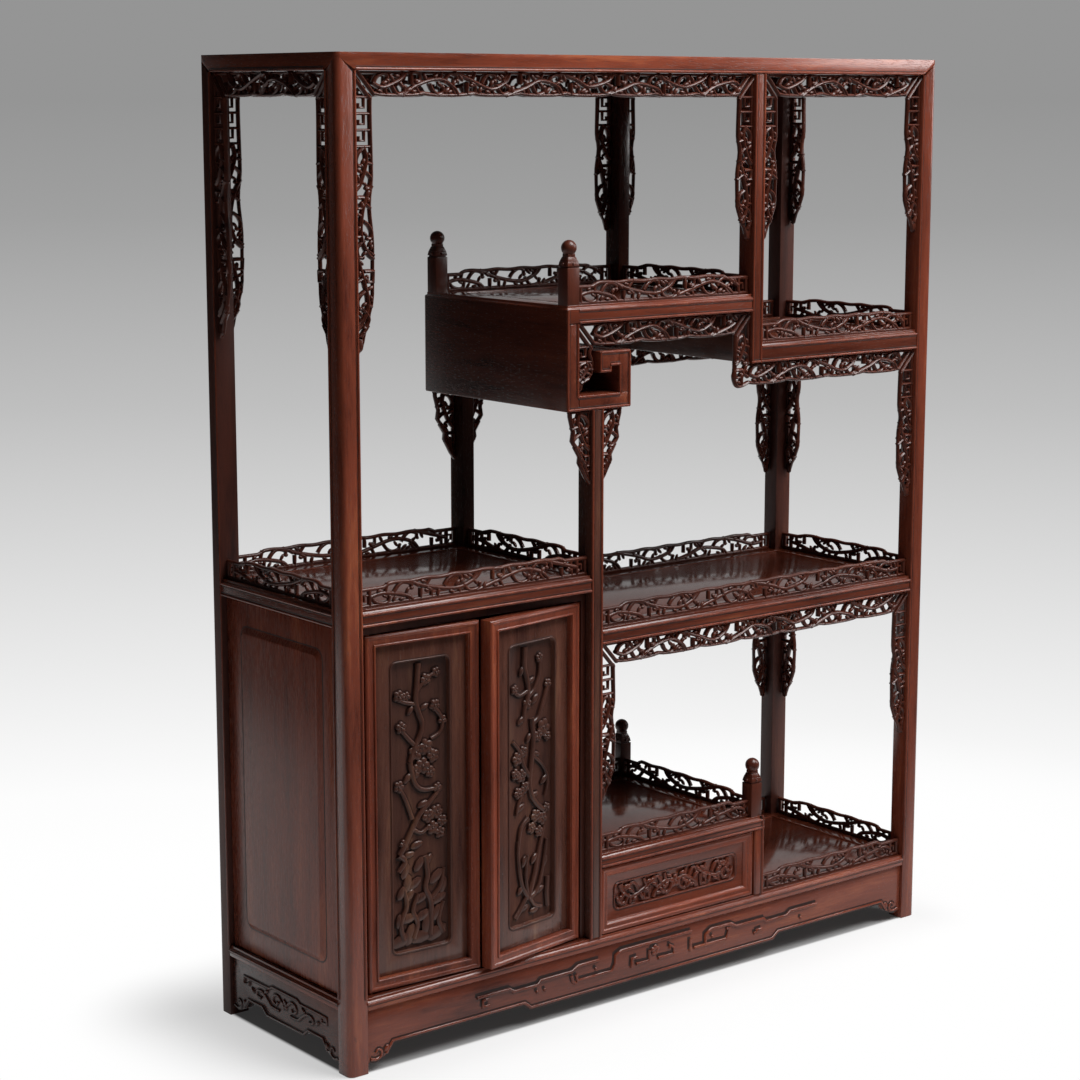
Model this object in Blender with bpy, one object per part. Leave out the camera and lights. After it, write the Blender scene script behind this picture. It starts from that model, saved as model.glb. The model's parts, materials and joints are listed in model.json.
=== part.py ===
"""Free-standing hardwood curio cabinet: stepped open shelves with pierced aprons and
galleries, a scroll box under the step, a two-door cupboard and one drawer.
Metres, +Z up, the front faces -Y, and the floor is at z = 0."""

import math

import bmesh
import bpy
from mathutils import Vector

# Carcass
WIDTH = 0.770
DEPTH = 0.232
HEIGHT = 0.950
GAP = 0.0003
FUSE = 0.001

# Corner posts, the slim posts inside the front, and the short posts beside the drawer
POST_WIDTH = 0.021
POST_DEPTH = 0.019
POST_ROUND = 0.005
SLIM_WIDTH = 0.0145
SLIM_DEPTH = 0.0215
SLIM_CHAMFER = 0.0015
DRAWER_POST_WIDTH = 0.012
DRAWER_POST_DEPTH = 0.012
CENTRE_X = -0.084
UPPER_X = 0.1275
DRAWER_POST_X = 0.142

# Height of each shelf's top above the floor, and of its moulded edge
BASE_LEVEL, BASE_EDGE = 0.0735, 0.012
OVER_DRAWER_LEVEL, OVER_DRAWER_EDGE = 0.160, 0.0145
MIDDLE_LEVEL, MIDDLE_EDGE = 0.393, 0.017
CUPBOARD_LEVEL, CUPBOARD_EDGE = 0.448, 0.017
UPPER_LEVEL, UPPER_EDGE = 0.664, 0.021
STEP_LEVEL, STEP_EDGE = 0.714, 0.018
TOP_EDGE = 0.016
MITRE_CAP = 0.003
MITRE_CLEAR = 0.0004

# Shelf frames: rail width in plan, the ledge that carries the panel, and the edge moulding
RAIL = 0.027
LEDGE = 0.004
PANEL_THICK = 0.007
PANEL_DROP = 0.001
EDGE_BEAD = 0.0012
EDGE_LIP_HEIGHT = 0.0035
EDGE_LIP_SET = 0.0016

# Galleries
GALLERY_END_HEIGHT = 0.0185
GALLERY_HEIGHT = 0.0215
GALLERY_THICK = 0.005
GALLERY_SET = 0.006
GALLERY_PITCH = 0.030
GALLERY_CLEAR = 0.0006
GALLERY_STEP = 0.018
GALLERY_SINK = 0.0006

# Finials
FINIAL_WIDTH = 0.0143
FINIAL_INSET = 0.0006
FINIAL_SHAFT = 0.036
FINIAL_SHOULDER = 0.011
FINIAL_NECK = 0.0085
FINIAL_BALL = 0.0165

# Scroll box under the step shelf: a square hook in profile, run from front to back
BOX_LEFT = -0.123
BOX_RIGHT = -0.0425
BOX_BOTTOM = 0.6115
BOX_BOARD = 0.015
HOOK_TOP = 0.668
HOOK_LEFT = -0.082
HOOK_DROP = 0.006

# Pierced aprons with hanging spandrels
FRET_THICK = 0.007
FRET_SET = 0.002
APRON_HEIGHT = 0.023
SPANDREL_WIDTH = 0.0205
FRET_BORDER = 0.0026
FRET_STEM = 0.0030
FRET_PITCH = 0.026
APRON_LOBE = 0.056
APRON_CUSP = 0.0018
# Share of a spandrel's length, and its width there as a share of SPANDREL_WIDTH
SPANDREL_LOBES = ((0, 1.0), (0.12, 0.95), (0.37, 1.0), (0.46, 0.87), (0.61, 1.03), (0.79, 1.0),
                  (0.86, 0.80), (0.94, 0.48), (1.0, 0.15))
LONG_SPANDREL = 0.254
SPANDREL = 0.162
SPANDREL_CLEAR = 0.054
BOX_SPANDREL = 0.062
BRACKET_WIDTH = 0.026
BRACKET_HEIGHT = 0.073

# Cupboard
BOARD = 0.008
SIDE_PANEL_THICK = 0.010
SIDE_PANEL_SET = 0.003
FIELD_MARGIN = 0.026
FIELD_RAISE = 0.0025
FIELD_ROUND = 0.010
BACK_SET = 0.004
HEAD = 0.009
JAMB = 0.006
SURROUND_SET = 0.009
SURROUND_DEPTH = 0.012

# Doors, shown ajar at rest
DOOR_THICK = 0.014
DOOR_SET = 0.008
DOOR_FRAME = 0.012
DOOR_CLEAR = 0.0012
DOOR_HINGE_CLEAR = 0.0022
DOOR_MEETING = 0.0016
DOOR_PANEL_THICK = 0.006
DOOR_PANEL_SET = 0.006
LEFT_AJAR = math.radians(3)
RIGHT_AJAR = math.radians(9)
PIVOT_FROM_EDGE = 0.0035
PIVOT_FROM_FACE = 0.004
PIVOT_RADIUS = 0.0024
PIVOT_LENGTH = 0.006
PIVOT_END_CLEAR = 0.0012
PIVOT_CLEAR = 0.0001
PIVOT_SIDES = 10
TABLET_MARGIN = 0.012
TABLET_RAISE = 0.0025
TABLET_ROUND = 0.007

# Drawer
DRAWER_CLEAR = 0.0012
DRAWER_SET = 0.002
DRAWER_FRONT_THICK = 0.014
DRAWER_FRAME = 0.011
DRAWER_FIELD_SET = 0.005
DRAWER_SIDE = 0.007
DRAWER_BOTTOM = 0.004
DRAWER_BOTTOM_LIFT = 0.003
DRAWER_SIDE_DROP = 0.008
DRAWER_BACK_SPACE = 0.012

# Base aprons under the base frame
BASE_APRON_THICK = 0.010
BASE_APRON_SET = 0.003
BASE_APRON_EDGE = 0.030
BASE_APRON_MIDDLE = 0.0235
BASE_APRON_FOOT = 0.015
BASE_SCROLL = 0.030
BASE_SCROLL_TIP = 0.004
BASE_APRON_OGEE = 0.008
FRONT_APRON_STEP = 0.190
SIDE_APRON_STEP = 0.056

FINISHES = {
    "frame": ((0.125, 0.036, 0.021), 0.34),
    "panel": ((0.085, 0.030, 0.020), 0.30),
    "fret": ((0.070, 0.024, 0.017), 0.36),
    "inner": ((0.055, 0.022, 0.015), 0.50),
}

LEFT, RIGHT = -WIDTH / 2, WIDTH / 2
TOP_BOTTOM = HEIGHT - TOP_EDGE
MITRE_RISE = TOP_EDGE - MITRE_CAP
STEP_BOTTOM = STEP_LEVEL - STEP_EDGE
# The upper spandrels all end on one line, clear of what stands on the step shelf's edge
UPPER_SPANDREL = TOP_BOTTOM - STEP_LEVEL - SPANDREL_CLEAR
UPPER_BOTTOM = UPPER_LEVEL - UPPER_EDGE
CUPBOARD_BOTTOM = CUPBOARD_LEVEL - CUPBOARD_EDGE
MIDDLE_BOTTOM = MIDDLE_LEVEL - MIDDLE_EDGE
OVER_DRAWER_BOTTOM = OVER_DRAWER_LEVEL - OVER_DRAWER_EDGE
BASE_BOTTOM = BASE_LEVEL - BASE_EDGE

# A socket's flats stay clear of the pin as it turns
SOCKET_RADIUS = (PIVOT_RADIUS + PIVOT_CLEAR) / math.cos(math.pi / PIVOT_SIDES)

# The doors share the cupboard's opening between the jambs
OPENING_LEFT = LEFT + POST_WIDTH + JAMB
OPENING_RIGHT = CENTRE_X - SLIM_WIDTH / 2 - JAMB
DOOR_WIDTH = (OPENING_RIGHT - OPENING_LEFT - 2 * DOOR_HINGE_CLEAR - DOOR_MEETING) / 2
DOOR_SWING = DOOR_WIDTH - PIVOT_FROM_EDGE
DOOR_REACH = max(
    0.0,
    DOOR_SWING * math.sin(max(LEFT_AJAR, RIGHT_AJAR))
    + PIVOT_FROM_FACE * math.cos(max(LEFT_AJAR, RIGHT_AJAR))
    - DOOR_SET
    - PIVOT_FROM_FACE,
)
# The origin is midway between the ajar door's edge and the back
FRONT = (DOOR_REACH - DEPTH) / 2
BACK = FRONT + DEPTH


def clear_scene():
    for obj in list(bpy.data.objects):
        bpy.data.objects.remove(obj)


def finish_material(name):
    """One polished wood, made once for each kind of surface."""
    material = bpy.data.materials.get(name)
    if material is None:
        colour, roughness = FINISHES[name]
        material = bpy.data.materials.new(name)
        material.use_nodes = True
        shader = material.node_tree.nodes["Principled BSDF"]
        shader.inputs["Base Color"].default_value = (*colour, 1)
        shader.inputs["Roughness"].default_value = roughness
        shader.inputs["Metallic"].default_value = 0
    return material


def solid(name, bm, finish="frame", parent=None):
    """A named object from a finished bmesh."""
    bmesh.ops.recalc_face_normals(bm, faces=bm.faces)
    mesh = bpy.data.meshes.new(name)
    bm.to_mesh(mesh)
    bm.free()
    mesh.materials.append(finish_material(finish))
    obj = bpy.data.objects.new(name, mesh)
    bpy.context.scene.collection.objects.link(obj)
    obj.parent = parent
    return obj


def combine(target, bm, operation="UNION"):
    """Joins a shape to an object, or cuts it away, with the shape kept as a hidden helper."""
    helper = solid(f"{target.name}_{operation.lower()}", bm, parent=target.parent)
    helper.hide_render = True
    helper.display_type = "WIRE"
    modifier = target.modifiers.new(operation.lower(), "BOOLEAN")
    modifier.operation = operation
    modifier.solver = "EXACT"
    modifier.object = helper


def loop_at(bm, points):
    return [bm.verts.new(point) for point in points]


def skin(bm, loops, close=False):
    """Quads between loops of like length, and round to the first when closed."""
    pairs = list(zip(loops, loops[1:]))
    if close:
        pairs.append((loops[-1], loops[0]))
    for low, high in pairs:
        count = len(low)
        for i in range(count):
            j = (i + 1) % count
            bm.faces.new((low[i], low[j], high[j], high[i]))


def fill(bm, loops, normal):
    """Triangles over an outline with any holes in it."""
    edges = []
    for loop in loops:
        for a, b in zip(loop, loop[1:] + loop[:1]):
            edges.append(bm.edges.get((a, b)) or bm.edges.new((a, b)))
    bmesh.ops.triangle_fill(bm, use_beauty=True, edges=edges, normal=normal)


def block(low, high):
    """A rectangular board between two corners."""
    bm = bmesh.new()
    bmesh.ops.create_cube(bm, size=1)
    low, high = Vector(low), Vector(high)
    bmesh.ops.scale(bm, vec=high - low, verts=bm.verts)
    bmesh.ops.translate(bm, vec=(low + high) / 2, verts=bm.verts)
    return bm


def plate(outline, holes, start, thick, side=False):
    """A pierced board: an upright outline of (along, height) points, extruded through its
    thickness along Y, or along X on a side of the cabinet."""
    def place(point, depth):
        along, height = point
        return (depth, along, height) if side else (along, depth, height)

    bm = bmesh.new()
    loops = [[loop_at(bm, [place(p, start + d) for p in loop]) for loop in (outline, *holes)]
             for d in (0, thick)]
    normal = (1, 0, 0) if side else (0, 1, 0)
    for level in loops:
        fill(bm, level, normal)
    for near, far in zip(*loops):
        skin(bm, [near, far])
    return bm


def pivot_rod(radius, low, high, x, y):
    """An upright rod: a door's pin, or the space of its socket."""
    bm = bmesh.new()
    bmesh.ops.create_cone(
        bm, cap_ends=True, segments=PIVOT_SIDES, radius1=radius, radius2=radius, depth=high - low)
    bmesh.ops.translate(bm, vec=(x, y, (low + high) / 2), verts=bm.verts)
    return bm


def rounded_rectangle(x0, x1, z0, z1, radius, steps=3):
    points = []
    for corner, (x, z) in enumerate(((x1, z0), (x1, z1), (x0, z1), (x0, z0))):
        centre_x = x - radius if x == x1 else x + radius
        centre_z = z - radius if z == z1 else z + radius
        for i in range(steps + 1):
            angle = math.radians(-90 + corner * 90 + 90 * i / steps)
            points.append((centre_x + radius * math.cos(angle), centre_z + radius * math.sin(angle)))
    return points


class Post:
    """The plan of one post: its four faces."""

    def __init__(self, x, width, depth, front):
        self.x0, self.x1 = x - width / 2, x + width / 2
        self.y0 = FRONT if front else BACK - depth
        self.y1 = FRONT + depth if front else BACK
        self.front = front


CORNER_POSTS = {
    f"post_{end}_{hand}": Post(
        LEFT + POST_WIDTH / 2 if hand == "left" else RIGHT - POST_WIDTH / 2,
        POST_WIDTH, POST_DEPTH, end == "front")
    for end in ("front", "rear") for hand in ("left", "right")
}
FL, FR = CORNER_POSTS["post_front_left"], CORNER_POSTS["post_front_right"]
RL, RR = CORNER_POSTS["post_rear_left"], CORNER_POSTS["post_rear_right"]
CENTRE_F, CENTRE_R = (Post(CENTRE_X, SLIM_WIDTH, SLIM_DEPTH, front) for front in (True, False))
UPPER_F, UPPER_R = (Post(UPPER_X, SLIM_WIDTH, SLIM_DEPTH, front) for front in (True, False))
DRAWER_F, DRAWER_R = (
    Post(DRAWER_POST_X, DRAWER_POST_WIDTH, DRAWER_POST_DEPTH, front) for front in (True, False))

FINIAL_CENTRE = EDGE_LIP_SET + FINIAL_INSET + FINIAL_WIDTH / 2
PARTITION_RIGHT = CENTRE_F.x0 + BOARD
RISER_RIGHT = UPPER_F.x0 + BOARD


def post_corners(post):
    """The inner and the outer corner of a corner post's plan."""
    inner_x, outer_x = (post.x1, post.x0) if post.x0 < 0 else (post.x0, post.x1)
    inner_y, outer_y = (post.y1, post.y0) if post.front else (post.y0, post.y1)
    return Vector((inner_x, inner_y)), Vector((outer_x, outer_y))


def corner_post_solid(post):
    """A corner post with a quarter round on its outer edge, whose head slopes up to that edge
    for the three-way mitre of the top."""
    inner, outer = post_corners(post)
    reach = outer - inner
    arc = []
    for i in range(5):
        angle = math.radians(90 * i / 4)
        arc.append((outer.x - math.copysign(POST_ROUND, reach.x) * (1 - math.sin(angle)),
                    outer.y - math.copysign(POST_ROUND, reach.y) * (1 - math.cos(angle))))
    outline = [(inner.x, inner.y), (inner.x, outer.y), *arc, (outer.x, inner.y)]

    def head(x, y):
        return TOP_BOTTOM + MITRE_RISE * min((x - inner.x) / reach.x, (y - inner.y) / reach.y)

    bm = bmesh.new()
    foot = loop_at(bm, [(x, y, 0) for x, y in outline])
    crown = loop_at(bm, [(x, y, head(x, y)) for x, y in outline])
    skin(bm, [foot, crown])
    bm.faces.new(foot)
    bm.faces.new(crown[:5])
    bm.faces.new([crown[0], *crown[4:]])
    return bm


def mitre_socket(post):
    """The space that a post's head takes out of the top frame, run out past its outer faces."""
    inner, outer = post_corners(post)
    reach = outer - inner
    near, far = -MITRE_CLEAR / POST_DEPTH, 1 + 5 * MITRE_CLEAR / POST_DEPTH
    shares = ((near, near), (far, near), (far, far), (near, far))
    plan = [(inner.x + reach.x * a, inner.y + reach.y * b, min(a, b)) for a, b in shares]
    bm = bmesh.new()
    foot = loop_at(bm, [(x, y, TOP_BOTTOM - TOP_EDGE) for x, y, _ in plan])
    crown = loop_at(bm, [(x, y, TOP_BOTTOM + GAP + MITRE_RISE * share) for x, y, share in plan])
    skin(bm, [foot, crown])
    bm.faces.new(foot)
    bm.faces.new(crown[:3])
    bm.faces.new([crown[0], *crown[2:]])
    return bm


def slim_post_solid(post, low, high):
    """A slim post, chamfered along the two edges of its outer face."""
    outer, inner = (post.y0, post.y1) if post.front else (post.y1, post.y0)
    shoulder = outer + math.copysign(SLIM_CHAMFER, inner - outer)
    outline = [
        (post.x0, inner), (post.x1, inner), (post.x1, shoulder), (post.x1 - SLIM_CHAMFER, outer),
        (post.x0 + SLIM_CHAMFER, outer), (post.x0, shoulder)]
    bm = bmesh.new()
    foot = loop_at(bm, [(x, y, low) for x, y in outline])
    crown = loop_at(bm, [(x, y, high) for x, y in outline])
    skin(bm, [foot, crown])
    bm.faces.new(foot)
    bm.faces.new(crown)
    return bm


def fret_start(front):
    """Where a pierced board's thickness begins on the front or the back."""
    return FRONT + FRET_SET if front else BACK - FRET_SET - FRET_THICK


def bracket_solid(post, way):
    """The small pierced bracket beside a centre post, under the scroll box."""
    face = post.x1 if way > 0 else post.x0
    root = -FUSE
    top = BOX_BOTTOM - GAP
    profile = ((root, 0), (1, 0), (1, 0.07), (0.82, 0.30), (0.88, 0.42), (0.50, 0.58),
               (0.55, 0.70), (0.22, 0.90), (root, 1))
    upper = ((0.12, 0.07), (0.80, 0.07), (0.62, 0.34), (0.12, 0.44))
    lower = ((0.12, 0.52), (0.36, 0.50), (0.34, 0.72), (0.12, 0.84))

    def placed(points):
        return [(face + way * (share * BRACKET_WIDTH if share > 0 else share), top - drop * BRACKET_HEIGHT)
                for share, drop in points]

    return plate(placed(profile), [placed(upper), placed(lower)], fret_start(post.front), FRET_THICK)


def make_posts():
    for name, post in CORNER_POSTS.items():
        solid(name, corner_post_solid(post))
    for name, post in (("centre_post_front", CENTRE_F), ("centre_post_rear", CENTRE_R)):
        centre = solid(name, slim_post_solid(post, BASE_LEVEL + GAP, BOX_BOTTOM - GAP))
        for way in (-1, 1):
            combine(centre, bracket_solid(post, way))
    for name, post in (("upper_post_front", UPPER_F), ("upper_post_rear", UPPER_R)):
        solid(name, slim_post_solid(post, UPPER_BOTTOM, TOP_BOTTOM - GAP))
    for name, post in (("drawer_post_front", DRAWER_F), ("drawer_post_rear", DRAWER_R)):
        solid(name, slim_post_solid(post, BASE_LEVEL + GAP, OVER_DRAWER_BOTTOM - GAP))


def frame_outline(x0, x1, corners, inset):
    """Plan of a shelf frame, notched round the posts at its corners: front left, front right,
    back right, back left, each a post or None."""
    fl, fr, br, bl = corners
    left, right = x0 + inset, x1 - inset
    front, back = FRONT + inset, BACK - inset
    points = []
    if fl:
        points += [(left, fl.y1 + GAP), (fl.x1 + GAP, fl.y1 + GAP), (fl.x1 + GAP, front)]
    else:
        points += [(left, front)]
    if fr:
        points += [(fr.x0 - GAP, front), (fr.x0 - GAP, fr.y1 + GAP), (right, fr.y1 + GAP)]
    else:
        points += [(right, front)]
    if br:
        points += [(right, br.y0 - GAP), (br.x0 - GAP, br.y0 - GAP), (br.x0 - GAP, back)]
    else:
        points += [(right, back)]
    if bl:
        points += [(bl.x1 + GAP, back), (bl.x1 + GAP, bl.y0 - GAP), (left, bl.y0 - GAP)]
    else:
        points += [(left, back)]
    return points


def shelf(name, x0, x1, level, edge, corners, moulded=True):
    """A mitred frame with a moulded edge and a floating panel on its inner ledge."""
    bottom = level - edge
    ledge_top = level - PANEL_DROP - PANEL_THICK - GAP
    steps = [(bottom, EDGE_BEAD), (bottom + EDGE_BEAD, 0), (level - EDGE_LIP_HEIGHT, 0),
             (level - EDGE_LIP_HEIGHT + EDGE_BEAD, EDGE_LIP_SET), (level, EDGE_LIP_SET)]
    if not moulded:
        steps = [(bottom, 0), (level, 0)]

    def opening(shrink):
        low_x, high_x = x0 + RAIL + shrink, x1 - RAIL - shrink
        low_y, high_y = FRONT + RAIL + shrink, BACK - RAIL - shrink
        return [(low_x, low_y), (high_x, low_y), (high_x, high_y), (low_x, high_y)]

    bm = bmesh.new()
    outer = [loop_at(bm, [(x, y, z) for x, y in frame_outline(x0, x1, corners, inset)]) for z, inset in steps]
    inner = [loop_at(bm, [(x, y, z) for x, y in opening(shrink)])
             for z, shrink in ((bottom, LEDGE), (ledge_top, LEDGE), (ledge_top, 0), (level, 0))]
    skin(bm, outer)
    skin(bm, inner)
    fill(bm, [outer[0], inner[0]], (0, 0, 1))
    fill(bm, [outer[-1], inner[-1]], (0, 0, 1))
    frame = solid(f"{name}_frame", bm)
    low = (x0 + RAIL + GAP, FRONT + RAIL + GAP, ledge_top + GAP)
    high = (x1 - RAIL - GAP, BACK - RAIL - GAP, level - PANEL_DROP)
    solid(f"{name}_panel", block(low, high), "panel")
    return frame


def wave_holes(start, length, width_at, pitch, shape):
    """Openings on both sides of a waving stem: each is a list of (along, across) points."""
    base = max(point[0] for point in shape)
    count = max(1, round(length / pitch - 2 * base + 1))
    step = length / (count - 1 + 2 * base)
    holes = []
    for i in range(count):
        centre = start + step * (base + i)
        hole = []
        for along, share in shape:
            s = centre + along * step
            room = width_at(s) - 2 * FRET_BORDER
            across = share * (room - FRET_STEM)
            hole.append((s, FRET_BORDER + (room - across if i % 2 else across)))
        holes.append(hole)
    return holes


VINE = ((-0.74, 0), (0.74, 0), (0.42, 0.52), (0, 1), (-0.42, 0.52))
LATTICE = ((-0.70, 0), (0.70, 0), (0.24, 1), (-0.24, 1))


def gallery_solid(low, high, offset, level, side=False):
    """One pierced gallery board standing on a shelf's edge, stepped up between its ends."""
    length = high - low
    step = min(GALLERY_STEP, length / 4)
    rise = GALLERY_HEIGHT - GALLERY_END_HEIGHT
    bottom = level - GALLERY_SINK
    outline = [(low, bottom), (high, bottom), (high, level + GALLERY_END_HEIGHT),
               (high - step, level + GALLERY_END_HEIGHT), (high - step - rise, level + GALLERY_HEIGHT),
               (low + step + rise, level + GALLERY_HEIGHT), (low + step, level + GALLERY_END_HEIGHT),
               (low, level + GALLERY_END_HEIGHT)]
    border = FRET_BORDER
    holes = wave_holes(border, length - 2 * border, lambda s: GALLERY_END_HEIGHT, GALLERY_PITCH, LATTICE)
    placed = [[(low + s, level + v) for s, v in hole] for hole in holes]
    return plate(outline, placed, offset, GALLERY_THICK, side)


def long_galleries(frame, low, high, level):
    """The gallery boards along a shelf's front and back."""
    combine(frame, gallery_solid(low, high, FRONT + GALLERY_SET, level))
    combine(frame, gallery_solid(low, high, BACK - GALLERY_SET - GALLERY_THICK, level))


def side_gallery(frame, front_post, rear_post, x, level):
    """The gallery board between two posts, from front to back."""
    low, high = front_post.y1 + GALLERY_CLEAR, rear_post.y0 - GALLERY_CLEAR
    combine(frame, gallery_solid(low, high, x - GALLERY_THICK / 2, level, side=True))


def finial_solid(x, y, level):
    """A square newel with tapered shoulders, a neck and a ball, from the shelf's edge up."""
    half = FINIAL_WIDTH / 2
    neck = FINIAL_NECK / 2
    shaft_top = level + FINIAL_SHAFT
    neck_low = shaft_top + FINIAL_SHOULDER
    ball_centre = neck_low + FINIAL_BALL / 2
    bm = bmesh.new()

    def square(size, z):
        return loop_at(bm, [(x + a * size, y + b * size, z) for a, b in ((-1, -1), (1, -1), (1, 1), (-1, 1))])

    loops = [square(half, level - GALLERY_SINK), square(half, shaft_top), square(neck, neck_low),
             square(neck, neck_low + FINIAL_BALL / 3)]
    skin(bm, loops)
    bm.faces.new(loops[0])
    bm.faces.new(loops[-1])
    ball = bmesh.new()
    bmesh.ops.create_uvsphere(ball, u_segments=8, v_segments=6, radius=FINIAL_BALL / 2)
    bmesh.ops.translate(ball, vec=(x, y, ball_centre), verts=ball.verts)
    return bm, ball


def add_finials(frame, x, level):
    for y in (FRONT + FINIAL_CENTRE, BACK - FINIAL_CENTRE):
        for piece in finial_solid(x, y, level):
            combine(frame, piece)


def make_top():
    """The top frame takes the posts' sloping heads in its mitred corners."""
    frame = shelf("top", LEFT, RIGHT, HEIGHT, TOP_EDGE, (None,) * 4, moulded=False)
    for post in CORNER_POSTS.values():
        combine(frame, mitre_socket(post), "DIFFERENCE")


def make_shelves():
    right_wall = RIGHT - GALLERY_SET - GALLERY_THICK / 2
    left_wall = LEFT + GALLERY_SET + GALLERY_THICK / 2

    upper = shelf("upper_shelf", RISER_RIGHT + GAP, RIGHT, UPPER_LEVEL, UPPER_EDGE,
                  (UPPER_F, FR, RR, UPPER_R))
    long_galleries(upper, UPPER_F.x1 + GALLERY_CLEAR, FR.x0 - GALLERY_CLEAR, UPPER_LEVEL)
    side_gallery(upper, FR, RR, right_wall, UPPER_LEVEL)

    step = shelf("step_shelf", BOX_LEFT, UPPER_F.x1, STEP_LEVEL, STEP_EDGE, (None, UPPER_F, UPPER_R, None))
    finial_x = BOX_LEFT + FINIAL_CENTRE
    add_finials(step, finial_x, STEP_LEVEL)
    long_galleries(step, finial_x, UPPER_F.x0 - GALLERY_CLEAR, STEP_LEVEL)
    side_gallery(step, UPPER_F, UPPER_R, UPPER_X, STEP_LEVEL)

    cupboard = shelf("cupboard_top", LEFT, CENTRE_F.x1, CUPBOARD_LEVEL, CUPBOARD_EDGE,
                     (FL, CENTRE_F, CENTRE_R, RL))
    long_galleries(cupboard, FL.x1 + GALLERY_CLEAR, CENTRE_F.x0 - GALLERY_CLEAR, CUPBOARD_LEVEL)
    side_gallery(cupboard, FL, RL, left_wall, CUPBOARD_LEVEL)
    side_gallery(cupboard, CENTRE_F, CENTRE_R, CENTRE_X, CUPBOARD_LEVEL)

    middle = shelf("middle_shelf", PARTITION_RIGHT + GAP, RIGHT, MIDDLE_LEVEL, MIDDLE_EDGE,
                   (CENTRE_F, FR, RR, CENTRE_R))
    long_galleries(middle, CENTRE_F.x1 + GALLERY_CLEAR, FR.x0 - GALLERY_CLEAR, MIDDLE_LEVEL)
    side_gallery(middle, FR, RR, right_wall, MIDDLE_LEVEL)

    over = shelf("drawer_top", PARTITION_RIGHT + GAP, DRAWER_F.x1, OVER_DRAWER_LEVEL, OVER_DRAWER_EDGE,
                 (CENTRE_F, None, None, CENTRE_R))
    over_finial_x = DRAWER_F.x1 - FINIAL_CENTRE
    add_finials(over, over_finial_x, OVER_DRAWER_LEVEL)
    long_galleries(over, CENTRE_F.x1 + GALLERY_CLEAR, over_finial_x, OVER_DRAWER_LEVEL)
    low, high = FRONT + FINIAL_CENTRE, BACK - FINIAL_CENTRE
    combine(over, gallery_solid(low, high, over_finial_x - GALLERY_THICK / 2, OVER_DRAWER_LEVEL, side=True))

    base = shelf("base", LEFT, RIGHT, BASE_LEVEL, BASE_EDGE, (FL, FR, RR, RL))
    long_galleries(base, DRAWER_F.x1 + GALLERY_CLEAR, FR.x0 - GALLERY_CLEAR, BASE_LEVEL)
    side_gallery(base, FR, RR, right_wall, BASE_LEVEL)
    for x in (left_pivot_x(), right_pivot_x()):
        hole = pivot_rod(SOCKET_RADIUS, BASE_LEVEL - PIVOT_LENGTH, BASE_LEVEL + PIVOT_LENGTH, x, pivot_y())
        combine(base, hole, "DIFFERENCE")


def make_scroll_box():
    """Four boards and a riser, each run from front to back."""
    top = STEP_BOTTOM - GAP
    inner_left = BOX_LEFT + BOX_BOARD
    inner_right = BOX_RIGHT - BOX_BOARD
    bottom_top = BOX_BOTTOM + BOX_BOARD
    solid("scroll_side_board", block((BOX_LEFT, FRONT, BOX_BOTTOM), (inner_left, BACK, top)))
    solid("scroll_bottom_board", block((inner_left + GAP, FRONT, BOX_BOTTOM), (BOX_RIGHT, BACK, bottom_top)))
    solid("scroll_end_board", block((inner_right, FRONT, bottom_top + GAP), (BOX_RIGHT, BACK, HOOK_TOP)))
    hook_low = HOOK_TOP - BOX_BOARD
    tail_low, tail_right = hook_low - HOOK_DROP, HOOK_LEFT + BOX_BOARD
    lip = [(HOOK_LEFT, HOOK_TOP), (HOOK_LEFT, tail_low), (tail_right, tail_low), (tail_right, hook_low),
           (inner_right - GAP, hook_low), (inner_right - GAP, HOOK_TOP)]
    solid("scroll_lip", plate(lip, [], FRONT, DEPTH))
    riser_low = (UPPER_F.x0, UPPER_F.y1 + GAP, UPPER_BOTTOM)
    solid("step_riser", block(riser_low, (RISER_RIGHT, UPPER_R.y0 - GAP, top)), "panel")


def spandrel_width(drop, length):
    """Width of a hanging spandrel: a long lobe, a waist, a second lobe, then the tip."""
    share = min(max(drop / length, 0), 1)
    for (low, narrow), (high, wide) in zip(SPANDREL_LOBES, SPANDREL_LOBES[1:]):
        if share <= high:
            return SPANDREL_WIDTH * (narrow + (wide - narrow) * (share - low) / (high - low))
    return SPANDREL_WIDTH * SPANDREL_LOBES[-1][1]


def spandrel_edge(length):
    """(drop, width) points down a spandrel's free edge, from the apron to the tip."""
    return [(share * length, spandrel_width(share * length, length))
            for share, _ in SPANDREL_LOBES if share * length > APRON_HEIGHT * 1.2]


def spandrel_holes(length):
    """Openings down a spandrel, kept inside its narrowest width as far as the short lobe."""
    widest, narrowest, end = 0.92, 0.70, 0.82

    def inside(s):
        return SPANDREL_WIDTH * (widest - (widest - narrowest) * min(s / length, end) / end)

    return wave_holes(APRON_HEIGHT, length * end - APRON_HEIGHT, inside, FRET_PITCH, VINE)


def apron_edge(low, high, bottom):
    """Cusped lower edge of an apron, from its high end to its low end."""
    count = max(1, round((high - low) / APRON_LOBE))
    step = (high - low) / count
    points = []
    for i in range(count):
        points.append((high - step * i, bottom + APRON_CUSP))
        points.append((high - step * (i + 0.5), bottom))
    points.append((low, bottom + APRON_CUSP))
    return points


def apron_holes(low, high, top, left_corner, right_corner):
    """Openings along an apron, clear of the solid mitred corners."""
    start = low + (SPANDREL_WIDTH if left_corner else 0)
    end = high - (SPANDREL_WIDTH if right_corner else 0)
    room = end - start - 2 * FRET_BORDER
    holes = wave_holes(FRET_BORDER, room, lambda s: APRON_HEIGHT - APRON_CUSP, FRET_PITCH, VINE)
    return [[(start + s, top - v) for s, v in hole] for hole in holes]


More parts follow.
